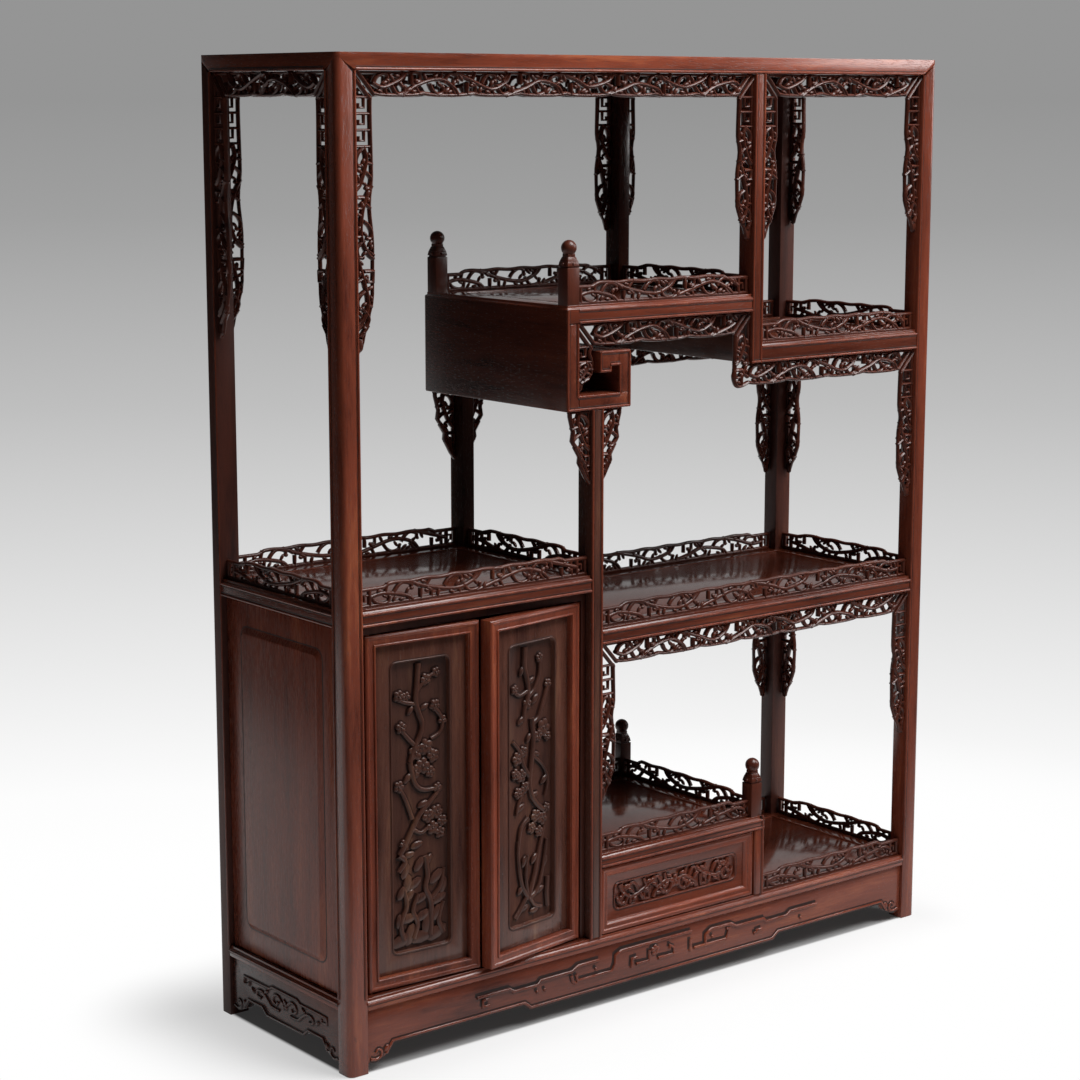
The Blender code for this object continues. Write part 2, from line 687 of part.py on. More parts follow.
def hang_spandrel(face, way, top, length):
    """Free edge and holes of a spandrel hung beside a post face, way being its side."""
    edge = [(face + way * width, top - drop) for drop, width in spandrel_edge(length)]
    holes = [[(face + way * v, top - s) for s, v in hole] for hole in spandrel_holes(length)]
    return edge, holes


def apron_solid(low, high, top, left_length, right_length, start, side=False):
    """A pierced apron with a spandrel at each end, cut as one mitred board."""
    low, high, top = low + GAP, high - GAP, top - GAP
    left_edge, left_holes = hang_spandrel(low, 1, top, left_length)
    right_edge, right_holes = hang_spandrel(high, -1, top, right_length)
    outline = [(low, top), (high, top), (high, top - right_length), *reversed(right_edge),
               *apron_edge(low + SPANDREL_WIDTH, high - SPANDREL_WIDTH, top - APRON_HEIGHT),
               *left_edge, (low, top - left_length)]
    holes = apron_holes(low, high, top, True, True) + left_holes + right_holes
    return plate(outline, holes, start, FRET_THICK, side)


def step_apron_solid(start):
    """The apron under the step: along the step shelf, down its post and on under the upper shelf."""
    low, corner, high = BOX_LEFT + BOX_BOARD + GAP, UPPER_F.x0 - GAP, FR.x0 - GAP
    top, under = STEP_BOTTOM - GAP, UPPER_BOTTOM - GAP
    left_edge, left_holes = hang_spandrel(low, 1, top, BOX_SPANDREL)
    right_edge, right_holes = hang_spandrel(high, -1, under, SPANDREL)
    drop_left = corner - SPANDREL_WIDTH
    outline = [(low, top), (corner, top), (corner, under), (high, under), (high, under - SPANDREL),
               *reversed(right_edge),
               *apron_edge(corner, high - SPANDREL_WIDTH, under - APRON_HEIGHT),
               (drop_left, under - APRON_HEIGHT / 2),
               *apron_edge(low + SPANDREL_WIDTH, drop_left, top - APRON_HEIGHT),
               *left_edge, (low, top - BOX_SPANDREL)]
    holes = apron_holes(low, corner, top, True, True) + apron_holes(corner, high, under, False, True)
    return plate(outline, holes + left_holes + right_holes, start, FRET_THICK)


def make_fretwork():
    for end in ("front", "rear"):
        start = fret_start(end == "front")
        pieces = {
            "left": apron_solid(FL.x1, UPPER_F.x0, TOP_BOTTOM, LONG_SPANDREL, UPPER_SPANDREL, start),
            "right": apron_solid(UPPER_F.x1, FR.x0, TOP_BOTTOM, UPPER_SPANDREL, UPPER_SPANDREL, start),
            "step": step_apron_solid(start),
            "lower": apron_solid(CENTRE_F.x1, FR.x0, MIDDLE_BOTTOM, SPANDREL, SPANDREL, start),
        }
        for place, bm in pieces.items():
            solid(f"fret_{end}_{place}", bm, "fret")
    near, far = FL.y1, RL.y0
    left_start = LEFT + FRET_SET
    right_start = RIGHT - FRET_SET - FRET_THICK
    left = apron_solid(near, far, TOP_BOTTOM, LONG_SPANDREL, LONG_SPANDREL, left_start, True)
    solid("fret_side_left", left, "fret")
    right_places = (("upper", TOP_BOTTOM, UPPER_SPANDREL), ("middle", UPPER_BOTTOM, SPANDREL),
                    ("lower", MIDDLE_BOTTOM, SPANDREL))
    for place, top, length in right_places:
        right = apron_solid(near, far, top, length, length, right_start, True)
        solid(f"fret_side_right_{place}", right, "fret")


def raised_field(bounds, margin, radius, face, height, side=False):
    """A bevelled field with round corners, standing on a panel's face towards -Y or -X."""
    a0, a1, z0, z1 = bounds
    bm = bmesh.new()
    loops = []
    for inset, depth in ((0, face + FUSE), (0, face), (height, face - height)):
        edge = margin + inset
        points = rounded_rectangle(a0 + edge, a1 - edge, z0 + edge, z1 - edge, radius)
        loops.append(loop_at(bm, [(depth, a, z) if side else (a, depth, z) for a, z in points]))
    skin(bm, loops)
    bm.faces.new(loops[0])
    bm.faces.new(loops[-1])
    return bm


def make_cupboard():
    low, high = BASE_LEVEL + GAP, CUPBOARD_BOTTOM - GAP
    near, far = FL.y1 + GAP, RL.y0 - GAP
    face = LEFT + SIDE_PANEL_SET + FIELD_RAISE
    panel = solid("side_panel_left", block((face, near, low), (face + SIDE_PANEL_THICK, far, high)), "panel")
    bounds = (near, far, low, high)
    combine(panel, raised_field(bounds, FIELD_MARGIN, FIELD_ROUND, face, FIELD_RAISE, side=True))

    back = BACK - BACK_SET
    solid("cupboard_back", block((RL.x1 + GAP, back - BOARD, low), (CENTRE_R.x0 - GAP, back, high)), "inner")
    partition_low = (CENTRE_F.x0, CENTRE_F.y1 + GAP, low)
    solid("partition", block(partition_low, (PARTITION_RIGHT, CENTRE_R.y0 - GAP, high)), "panel")

    drawer_top = OVER_DRAWER_BOTTOM - GAP
    side_right = DRAWER_F.x1 - SIDE_PANEL_SET
    solid("drawer_side_panel", block((side_right - BOARD, DRAWER_F.y1 + GAP, low),
                                     (side_right, DRAWER_R.y0 - GAP, drawer_top)), "panel")
    solid("drawer_back_panel", block((CENTRE_R.x1 + GAP, back - BOARD, low),
                                     (DRAWER_R.x0 - GAP, back, drawer_top)), "inner")

    surround_y = FRONT + SURROUND_SET
    head_low = CUPBOARD_BOTTOM - HEAD
    arch = [(FL.x1 + GAP, low), (OPENING_LEFT, low), (OPENING_LEFT, head_low), (OPENING_RIGHT, head_low),
            (OPENING_RIGHT, low), (CENTRE_F.x0 - GAP, low), (CENTRE_F.x0 - GAP, high), (FL.x1 + GAP, high)]
    surround = solid("door_surround", plate(arch, [], surround_y, SURROUND_DEPTH), "inner")
    for x in (left_pivot_x(), right_pivot_x()):
        hole = pivot_rod(SOCKET_RADIUS, head_low - HEAD, CUPBOARD_LEVEL, x, pivot_y())
        combine(surround, hole, "DIFFERENCE")


def left_pivot_x():
    return OPENING_LEFT + DOOR_HINGE_CLEAR + PIVOT_FROM_EDGE


def right_pivot_x():
    return OPENING_RIGHT - DOOR_HINGE_CLEAR - PIVOT_FROM_EDGE


def pivot_y():
    return FRONT + DOOR_SET + PIVOT_FROM_FACE


def moulded_frame(bounds, width, face, thick):
    """Four mitred members round a rectangle, with a bead outside and a chamfer inside."""
    a0, a1, z0, z1 = bounds
    bead = EDGE_BEAD
    profile = [(0, face + thick), (0, face + bead), (bead, face), (3 * bead, face), (4 * bead, face + bead),
               (width - 2 * bead, face + bead), (width, face + 3 * bead), (width, face + thick)]
    bm = bmesh.new()
    loops = [loop_at(bm, [(a0 + i, y, z0 + i), (a1 - i, y, z0 + i), (a1 - i, y, z1 - i), (a0 + i, y, z1 - i)])
             for i, y in profile]
    skin(bm, loops, close=True)
    return bm


def make_door(name, x, way, ajar):
    """A pivoted door: its pins and its panel hang on an empty on the hinge axis."""
    low, high = BASE_LEVEL + DOOR_CLEAR, CUPBOARD_BOTTOM - HEAD - DOOR_CLEAR
    hinge = bpy.data.objects.new(f"{name}_hinge", None)
    bpy.context.scene.collection.objects.link(hinge)
    hinge.location = (x, pivot_y(), 0)
    hinge.rotation_euler.z = way * -ajar
    ends = sorted((-way * PIVOT_FROM_EDGE, way * DOOR_SWING))
    bounds = (*ends, low, high)
    face = -PIVOT_FROM_FACE
    frame = solid(f"{name}_frame", moulded_frame(bounds, DOOR_FRAME, face, DOOR_THICK), "frame", hinge)
    bury = DOOR_FRAME / 2
    foot = low - DOOR_CLEAR - PIVOT_LENGTH + PIVOT_END_CLEAR
    for start, end in ((foot, low + bury), (high - bury, high + PIVOT_LENGTH)):
        combine(frame, pivot_rod(PIVOT_RADIUS, start, end, 0, 0))
    inner = DOOR_FRAME + GAP
    field = (ends[0] + inner, ends[1] - inner, low + inner, high - inner)
    panel_face = face + DOOR_PANEL_SET
    board = block((field[0], panel_face, field[2]), (field[1], panel_face + DOOR_PANEL_THICK, field[3]))
    panel = solid(f"{name}_panel", board, "panel", hinge)
    combine(panel, raised_field(field, TABLET_MARGIN, TABLET_ROUND, panel_face, TABLET_RAISE))


def make_drawer():
    """A dovetailed drawer box behind a moulded front, on an empty at its front face."""
    left, right = CENTRE_F.x1 + DRAWER_CLEAR, DRAWER_F.x0 - DRAWER_CLEAR
    low, high = BASE_LEVEL + DRAWER_CLEAR / 2, OVER_DRAWER_BOTTOM - DRAWER_CLEAR
    slide = bpy.data.objects.new("drawer_slide", None)
    bpy.context.scene.collection.objects.link(slide)
    face = FRONT + DRAWER_SET
    slide.location = (0, face, 0)
    bounds = (left, right, low, high)
    front = solid("drawer_front", moulded_frame(bounds, DRAWER_FRAME, 0, DRAWER_FRONT_THICK), "frame", slide)
    inner = DRAWER_FRAME - FUSE
    field = (left + inner, right - inner, low + inner, high - inner)
    field_low = (field[0], DRAWER_FIELD_SET, field[2])
    combine(front, block(field_low, (field[1], DRAWER_FRONT_THICK - FUSE, field[3])))
    combine(front, raised_field(field, TABLET_MARGIN, TABLET_ROUND, DRAWER_FIELD_SET, TABLET_RAISE))
    near = DRAWER_FRONT_THICK + GAP
    far = BACK - BACK_SET - BOARD - DRAWER_BACK_SPACE - face
    top = high - DRAWER_SIDE_DROP
    solid("drawer_side_left", block((left, near, low), (left + DRAWER_SIDE, far, top)), "inner", slide)
    solid("drawer_side_right", block((right - DRAWER_SIDE, near, low), (right, far, top)), "inner", slide)
    within = (left + DRAWER_SIDE + GAP, right - DRAWER_SIDE - GAP)
    floor = low + DRAWER_BOTTOM_LIFT
    board_top = floor + DRAWER_BOTTOM
    solid("drawer_bottom", block((within[0], near, floor), (within[1], far, board_top)), "inner", slide)
    back_low = (within[0], far - DRAWER_SIDE, board_top + GAP)
    solid("drawer_back", block(back_low, (within[1], far, top)), "inner", slide)


def base_apron_outline(low, high, step):
    """A base apron: scroll feet at its ends, and a middle that steps down."""
    top = BASE_BOTTOM - GAP
    half = [(0, BASE_APRON_FOOT), (BASE_SCROLL * 0.45, BASE_APRON_FOOT),
            (BASE_SCROLL * 0.75, BASE_APRON_FOOT + BASE_SCROLL_TIP), (BASE_SCROLL, BASE_APRON_EDGE),
            (step, BASE_APRON_EDGE), (step + BASE_APRON_OGEE, BASE_APRON_MIDDLE)]
    left = [(low + GAP + d, z) for d, z in half]
    right = [(high - GAP - d, z) for d, z in reversed(half)]
    return [(low + GAP, top), *left, *right, (high - GAP, top)]


def make_base_aprons():
    front_y = FRONT + BASE_APRON_SET
    rear_y = BACK - BASE_APRON_SET - BASE_APRON_THICK
    left_x = LEFT + BASE_APRON_SET
    right_x = RIGHT - BASE_APRON_SET - BASE_APRON_THICK
    long = base_apron_outline(FL.x1, FR.x0, FRONT_APRON_STEP)
    short = base_apron_outline(FL.y1, RL.y0, SIDE_APRON_STEP)
    solid("base_apron_front", plate(long, [], front_y, BASE_APRON_THICK))
    solid("base_apron_rear", plate(long, [], rear_y, BASE_APRON_THICK))
    solid("base_apron_left", plate(short, [], left_x, BASE_APRON_THICK, side=True))
    solid("base_apron_right", plate(short, [], right_x, BASE_APRON_THICK, side=True))


def main():
    clear_scene()
    make_posts()
    make_top()
    make_shelves()
    make_scroll_box()
    make_fretwork()
    make_cupboard()
    make_door("door_left", left_pivot_x(), 1, LEFT_AJAR)
    make_door("door_right", right_pivot_x(), -1, RIGHT_AJAR)
    make_drawer()
    make_base_aprons()


main()
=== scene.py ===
"""Looks of a hardwood curio cabinet: moulded rails, carved fretwork and galleries, relief on the
doors, the drawer and the base aprons, and polished rosewood over the solids."""

import json
import math

import bmesh
import bpy
from bpy.props import FloatProperty, FloatVectorProperty, PointerProperty
from mathutils import Matrix, Vector


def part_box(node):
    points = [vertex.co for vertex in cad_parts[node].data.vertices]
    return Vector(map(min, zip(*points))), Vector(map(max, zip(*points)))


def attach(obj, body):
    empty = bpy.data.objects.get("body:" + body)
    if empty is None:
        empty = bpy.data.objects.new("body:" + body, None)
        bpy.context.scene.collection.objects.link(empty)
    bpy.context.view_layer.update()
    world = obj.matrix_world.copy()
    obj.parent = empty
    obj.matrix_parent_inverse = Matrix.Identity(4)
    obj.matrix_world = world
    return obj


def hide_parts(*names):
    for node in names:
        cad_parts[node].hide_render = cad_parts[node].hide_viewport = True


bl_info = {
    "name": "Curio cabinet looks",
    "version": (1, 0, 0),
    "blender": (4, 5, 0),
    "location": "View3D > Sidebar > Cabinet",
    "description": "Dresses a curio cabinet with carved fretwork, mouldings and polished rosewood",
    "category": "Object",
}

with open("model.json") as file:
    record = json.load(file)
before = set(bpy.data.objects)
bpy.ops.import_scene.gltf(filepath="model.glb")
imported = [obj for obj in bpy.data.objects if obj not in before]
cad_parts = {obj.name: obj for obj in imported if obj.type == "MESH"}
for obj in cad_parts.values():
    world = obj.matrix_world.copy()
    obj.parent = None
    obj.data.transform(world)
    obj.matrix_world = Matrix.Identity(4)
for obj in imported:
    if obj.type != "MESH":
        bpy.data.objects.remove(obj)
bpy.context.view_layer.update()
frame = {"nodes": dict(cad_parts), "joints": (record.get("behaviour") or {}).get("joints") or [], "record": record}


class CabinetWood(bpy.types.PropertyGroup):
    """Colours and polish of the rosewood."""

    heart: FloatVectorProperty(
        name="Heartwood", description="Main colour of the rails and posts", subtype="COLOR",
        default=(0.165, 0.037, 0.019), min=0, max=1)
    streak: FloatVectorProperty(
        name="Streaks", description="Dark streaks along the grain", subtype="COLOR",
        default=(0.052, 0.011, 0.007), min=0, max=1)
    flame: FloatVectorProperty(
        name="Flame", description="Bright bands between the streaks", subtype="COLOR",
        default=(0.270, 0.074, 0.032), min=0, max=1)
    shade: FloatProperty(
        name="Panel shade", description="How dark the panels and the carving are against the rails",
        default=0.62, min=0, max=1, subtype="FACTOR")
    polish: FloatProperty(
        name="Roughness", description="Roughness of the rubbed polish", default=0.23, min=0, max=1,
        subtype="FACTOR")


class CabinetCarving(bpy.types.PropertyGroup):
    """Sizes of the carved work."""

    stem: FloatProperty(
        name="Stem", description="Half width of the vine's main stem", default=0.0022, unit="LENGTH")
    tendril: FloatProperty(
        name="Tendril", description="Half width of a curling tendril at its root", default=0.0021,
        unit="LENGTH")
    border: FloatProperty(
        name="Border", description="Half width of the border bead", default=0.0014, unit="LENGTH")
    rim: FloatProperty(
        name="Rim", description="Half width of the shaped rim of the fretwork", default=0.0019, unit="LENGTH")
    wave: FloatProperty(
        name="Wave", description="Length of half a wave of the vine", default=0.0200, unit="LENGTH")
    edge: FloatProperty(
        name="Edge", description="Softened edge of rails and boards", default=0.0006, unit="LENGTH")
    bead: FloatProperty(
        name="Bead", description="Half width of the bead along posts and rails", default=0.0014,
        unit="LENGTH")
    quirk: FloatProperty(
        name="Quirk", description="Half width of the groove beside a bead", default=0.0008, unit="LENGTH")


class CabinetStage(bpy.types.PropertyGroup):
    """Camera and light."""

    camera_place: FloatVectorProperty(
        name="Camera", description="Camera position from the middle of the carcass's foot",
        subtype="TRANSLATION", default=(-1.6224, -1.9557, 0.9083))
    heading: FloatProperty(
        name="Heading", description="Turn of the camera from straight ahead", default=math.radians(-38.55),
        subtype="ANGLE")
    tilt: FloatProperty(
        name="Tilt", description="How far the camera looks down", default=math.radians(10.07),
        subtype="ANGLE")
    lens: FloatProperty(name="Lens", description="Focal length", default=82.62, unit="CAMERA")


def wood_settings():
    return bpy.context.scene.cabinet_wood


def carving():
    return bpy.context.scene.cabinet_carving


def body_of_node(node):
    for body, nodes in frame["record"]["behaviour"]["bodies"].items():
        if node in nodes:
            return body
    raise RuntimeError(f"no body holds {node}")


# Measures of the carcass, read from the solids
FL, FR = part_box("post_front_left"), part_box("post_front_right")
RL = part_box("post_rear_left")
LEFT, RIGHT = FL[0][0], FR[1][0]
FRONT, BACK = FL[0][1], RL[1][1]
INNER_LEFT, INNER_RIGHT = FL[1][0], FR[0][0]
INNER_FRONT, INNER_BACK = FL[1][1], RL[0][1]
TOP_BOTTOM, TOP = (corner[2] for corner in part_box("top_frame"))
UPPER_LEFT, UPPER_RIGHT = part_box("upper_post_front")[0][0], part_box("upper_post_front")[1][0]
CENTRE_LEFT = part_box("partition")[0][0]
CENTRE_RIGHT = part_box("cupboard_top_frame")[1][0]
CENTRE_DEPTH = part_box("partition")[0][1] - FRONT
DRAWER_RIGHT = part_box("drawer_post_front")[1][0]
PANEL_DROP = 0.001
GAP = 0.0003
LEVELS = {name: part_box(f"{name}_panel")[1][2] + PANEL_DROP
          for name in ("upper_shelf", "step_shelf", "cupboard_top", "middle_shelf", "drawer_top", "base")}
UNDERS = {name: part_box(f"{name}_frame")[0][2] for name in LEVELS}


class Value:
    """One shader value. Arithmetic on it adds Math nodes."""

    def __init__(self, bench, socket):
        self.bench, self.socket = bench, socket

    def math(self, operation, first, second):
        return self.bench.node("ShaderNodeMath", {"operation": operation}, {0: first, 1: second})

    def __add__(self, other):
        return self.math("ADD", self, other)

    def __radd__(self, other):
        return self.math("ADD", other, self)

    def __sub__(self, other):
        return self.math("SUBTRACT", self, other)

    def __rsub__(self, other):
        return self.math("SUBTRACT", other, self)

    def __mul__(self, other):
        return self.math("MULTIPLY", self, other)

    def __rmul__(self, other):
        return self.math("MULTIPLY", other, self)

    def __pow__(self, other):
        return self.math("POWER", self, other)


class Bench:
    """A node tree, and the one way of adding nodes to it."""

    def __init__(self, tree):
        self.tree = tree
        tree.nodes.clear()

    def node(self, kind, settings=None, inputs=None, output=0):
        made = self.tree.nodes.new(kind)
        for key, value in (settings or {}).items():
            if key == "stops":
                self.set_stops(made.color_ramp, value)
            else:
                setattr(made, key, value)
        for key, value in (inputs or {}).items():
            if isinstance(value, Value):
                self.tree.links.new(value.socket, made.inputs[key])
            else:
                made.inputs[key].default_value = value
        return Value(self, made.outputs[output]) if made.outputs else made

    @staticmethod
    def set_stops(ramp, stops):
        while len(ramp.elements) < len(stops):
            ramp.elements.new(1)
        for element, (place, colour) in zip(ramp.elements, stops):
            element.position = place
            element.color = (*colour, 1)


# Gain on red, green and blue where the wood has greyed
AGED = (1.0, 1.65, 2.15)
# How far the figure is drawn out along each axis
STRETCH = {"x": (0.10, 1, 1), "y": (1, 0.10, 1), "z": (1, 1, 0.10)}


def rosewood(name, grain, shade=1.0, roughness=0.30, coat=0.12, cool=(1, 1, 1)):
    """Polished rosewood with streaks, fibres and open pores that run along one axis."""
    found = bpy.data.materials.get(name)
    if found:
        return found
    wood = wood_settings()
    material = bpy.data.materials.new(name)
    material.use_nodes = True
    bench = Bench(material.node_tree)

    def toned(colour, gain=1.0):
        return tuple(min(1, c * shade * gain * k) for c, k in zip(colour, cool))

    place = bench.node("ShaderNodeTexCoord", output="Object")
    drawn = bench.node("ShaderNodeMapping", None, {"Vector": place, "Scale": STRETCH[grain]})
    figure = bench.node("ShaderNodeTexNoise", None, {
        "Vector": drawn, "Scale": 55, "Detail": 4, "Roughness": 0.58, "Distortion": 0.35})
    fibre = bench.node("ShaderNodeTexNoise", None, {
        "Vector": drawn, "Scale": 420, "Detail": 3, "Roughness": 0.6, "Distortion": 0.1})
    cloud = bench.node("ShaderNodeTexNoise", None, {"Vector": place, "Scale": 6, "Detail": 2})
    pores = bench.node("ShaderNodeTexNoise", None, {
        "Vector": drawn, "Scale": 1500, "Detail": 1, "Roughness": 0.5})
    tone = figure * 0.62 + fibre * 0.24 + cloud * 0.22
    ramp = bench.node("ShaderNodeValToRGB", {"stops": (
        (0.36, toned(wood.streak)), (0.50, toned(wood.heart, 0.80)), (0.60, toned(wood.heart)),
        (0.74, toned(wood.flame)))}, {0: tone})
    open_pore = bench.node("ShaderNodeMapRange", None, {0: pores, 1: 0.60, 2: 0.72, 3: 0.0, 4: 1.0})
    colour = bench.node("ShaderNodeMix", {"data_type": "RGBA", "blend_type": "MULTIPLY"}, {
        0: open_pore * 0.55, 6: ramp, 7: (0.30, 0.22, 0.20, 1)}, output=2)
    dull = roughness + (fibre - 0.5) * 0.10 + (cloud - 0.5) * 0.06 + open_pore * 0.08
    normal = bench.node("ShaderNodeBump", None, {
        "Strength": 0.22, "Distance": 0.0006, "Height": fibre * 0.5 - open_pore * 0.6})
    shader = bench.node("ShaderNodeBsdfPrincipled", None, {
        "Base Color": colour, "Roughness": dull, "Normal": normal, "Coat Weight": coat,
        "Coat Roughness": 0.14, "IOR": 1.5, "Specular IOR Level": 0.42})
    bench.node("ShaderNodeOutputMaterial", None, {"Surface": shader})
    return material


def frame_wood(grain, tone=1.0, cool=(1, 1, 1)):
    """Wood of the posts and rails. The tone differs from board to board, and on many boards it holds painted light
    and shade.
    """
    name = f"rosewood_rail_{grain}_{round(tone * 100)}_{round(cool[2] * 100)}"
    return rosewood(name, grain, tone, wood_settings().polish, cool=cool)


def rear_wood(grain, tone):
    """Wood of the rear corner posts, whose polish is duller and whose dark tone is painted shade."""
    name = f"rosewood_rear_{grain}_{round(tone * 100)}"
    return rosewood(name, grain, tone, wood_settings().polish + 0.27, 0.0)


def panel_wood(grain):
    wood = wood_settings()
    return rosewood(f"rosewood_panel_{grain}", grain, wood.shade, wood.polish - 0.02, 0.20, AGED)


def side_wood(grain):
    """The broad side panel, redder than the other panels."""
    return rosewood(f"rosewood_side_{grain}", grain, 1.35, wood_settings().polish + 0.04, 0.0)


def shelf_wood(grain):
    wood = wood_settings()
    return rosewood(f"rosewood_shelf_{grain}", grain, wood.shade, wood.polish - 0.14, 0.60)


def carved_wood(grain):
    wood = wood_settings()
    return rosewood(f"rosewood_carved_{grain}", grain, wood.shade * 0.85, wood.polish + 0.10, 0.06)


def ground_wood(grain):
    """Wood of the relief on the tablets and of the ground behind it."""
    wood = wood_settings()
    return rosewood(f"rosewood_ground_{grain}", grain, wood.shade * 0.72, wood.polish + 0.10, 0.05, AGED)


def inner_wood(grain):
    wood = wood_settings()
    return rosewood(f"rosewood_inside_{grain}", grain, wood.shade * 0.6, wood.polish + 0.18, 0.0)


def quirk_shade_wood(grain):
    """Dark wood for painted shade: in the narrow grooves beside the beads, round the tablets and round the
    reliefs.
    """
    wood = wood_settings()
    return rosewood(f"rosewood_painted_shade_{grain}", grain, wood.shade * 0.25, wood.polish + 0.25, 0.0)


def piece(name, bm, materials, body, nodes=(), smooth_angle=32):
    """A finished piece: shaded, riding on its body and standing for its solids."""
    mesh = bpy.data.meshes.new(name)
    bm.to_mesh(mesh)
    bm.free()
    for material in materials:
        mesh.materials.append(material)
    mesh.shade_smooth()
    mesh.set_sharp_from_angle(angle=math.radians(smooth_angle))
    obj = bpy.data.objects.new(name, mesh)
    bpy.context.scene.collection.objects.link(obj)
    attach(obj, body)
    if nodes:
        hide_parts(*nodes)


def merged_copy(node):
    """A solid's mesh with its loose triangles joined and its flat faces whole."""
    bm = bmesh.new()
    bm.from_mesh(frame["nodes"][node].data)
    bmesh.ops.remove_doubles(bm, verts=bm.verts, dist=0.00001)
    bmesh.ops.dissolve_limit(bm, angle_limit=math.radians(1), verts=bm.verts, edges=bm.edges)
    return bm


def keep_side(bm, point, normal):
    """Cuts a shape at a plane, drops what the normal points to, and closes the cut."""
    geom = bm.verts[:] + bm.edges[:] + bm.faces[:]
    cut = bmesh.ops.bisect_plane(bm, geom=geom, plane_co=point, plane_no=normal, clear_outer=True)
    rim = [e for e in cut["geom_cut"] if isinstance(e, bmesh.types.BMEdge) and e.is_boundary]
    bmesh.ops.triangle_fill(bm, use_beauty=True, use_dissolve=False, edges=rim, normal=normal)
    bmesh.ops.dissolve_limit(bm, angle_limit=math.radians(1), verts=bm.verts, edges=bm.edges)


def bevel(bm, geom, width, segments, affect="EDGES"):
    bmesh.ops.bevel(bm, geom=geom, offset=width, offset_type="OFFSET", segments=segments, profile=0.5,
                    affect=affect, clamp_overlap=True, material=-1)


def soften(bm, width, angle=30):
    """Rounds every edge sharper than the angle."""
    sharp = [e for e in bm.edges if len(e.link_faces) == 2 and e.calc_face_angle(0) > math.radians(angle)]
    bevel(bm, sharp, width, 2)


def block(bm, low, high, place=Matrix.Identity(4)):
    """A box between two corners, in the frame of a matrix."""
    shape = place @ Matrix.Translation((low + high) / 2) @ Matrix.Diagonal((*(high - low), 1))
    return bmesh.ops.create_cube(bm, size=1, matrix=shape)["verts"]


def recut_field(bm, is_top, width, depth):
    """Takes the raised top off a panel and cuts its field again, raised or sunk, with a sloping edge."""
    bmesh.ops.delete(bm, geom=[v for v in bm.verts if is_top(v.co)], context="VERTS")
    rim = [e for e in bm.edges if e.is_boundary]
    field = bmesh.ops.edgeloop_fill(bm, edges=rim)["faces"]
    bmesh.ops.recalc_face_normals(bm, faces=bm.faces)
    bmesh.ops.inset_region(bm, faces=field, thickness=width, depth=depth, use_even_offset=True)


def grain_by_side(bm, low, high, across):
    """Second material on the members that run the other way, up to the mitres."""
    first, second = across
    for face in bm.faces:
        centre = face.calc_center_median()
        a = min(centre[first] - low[first], high[first] - centre[first])
        b = min(centre[second] - low[second], high[second] - centre[second])
        face.material_index = 1 if a < b else 0


def board(node, materials):
    """A refined copy of a solid, with softened edges."""
    bm = merged_copy(node)
    soften(bm, carving().edge)
    piece(f"{node}_wood", bm, materials, body_of_node(node), (node,))


def front_plane(y):
    """Places drawn work (along, up, out) on an upright plane that faces the front."""
    return Matrix(((1, 0, 0, 0), (0, 0, -1, y), (0, 1, 0, 0), (0, 0, 0, 1)))


def side_plane(x):
    """The same on an upright plane that runs from front to back."""
    return Matrix(((0, 0, 1, x), (1, 0, 0, 0), (0, 1, 0, 0), (0, 0, 0, 1)))


STEM_SIDES = 2
LEAF_THICK = 0.0016


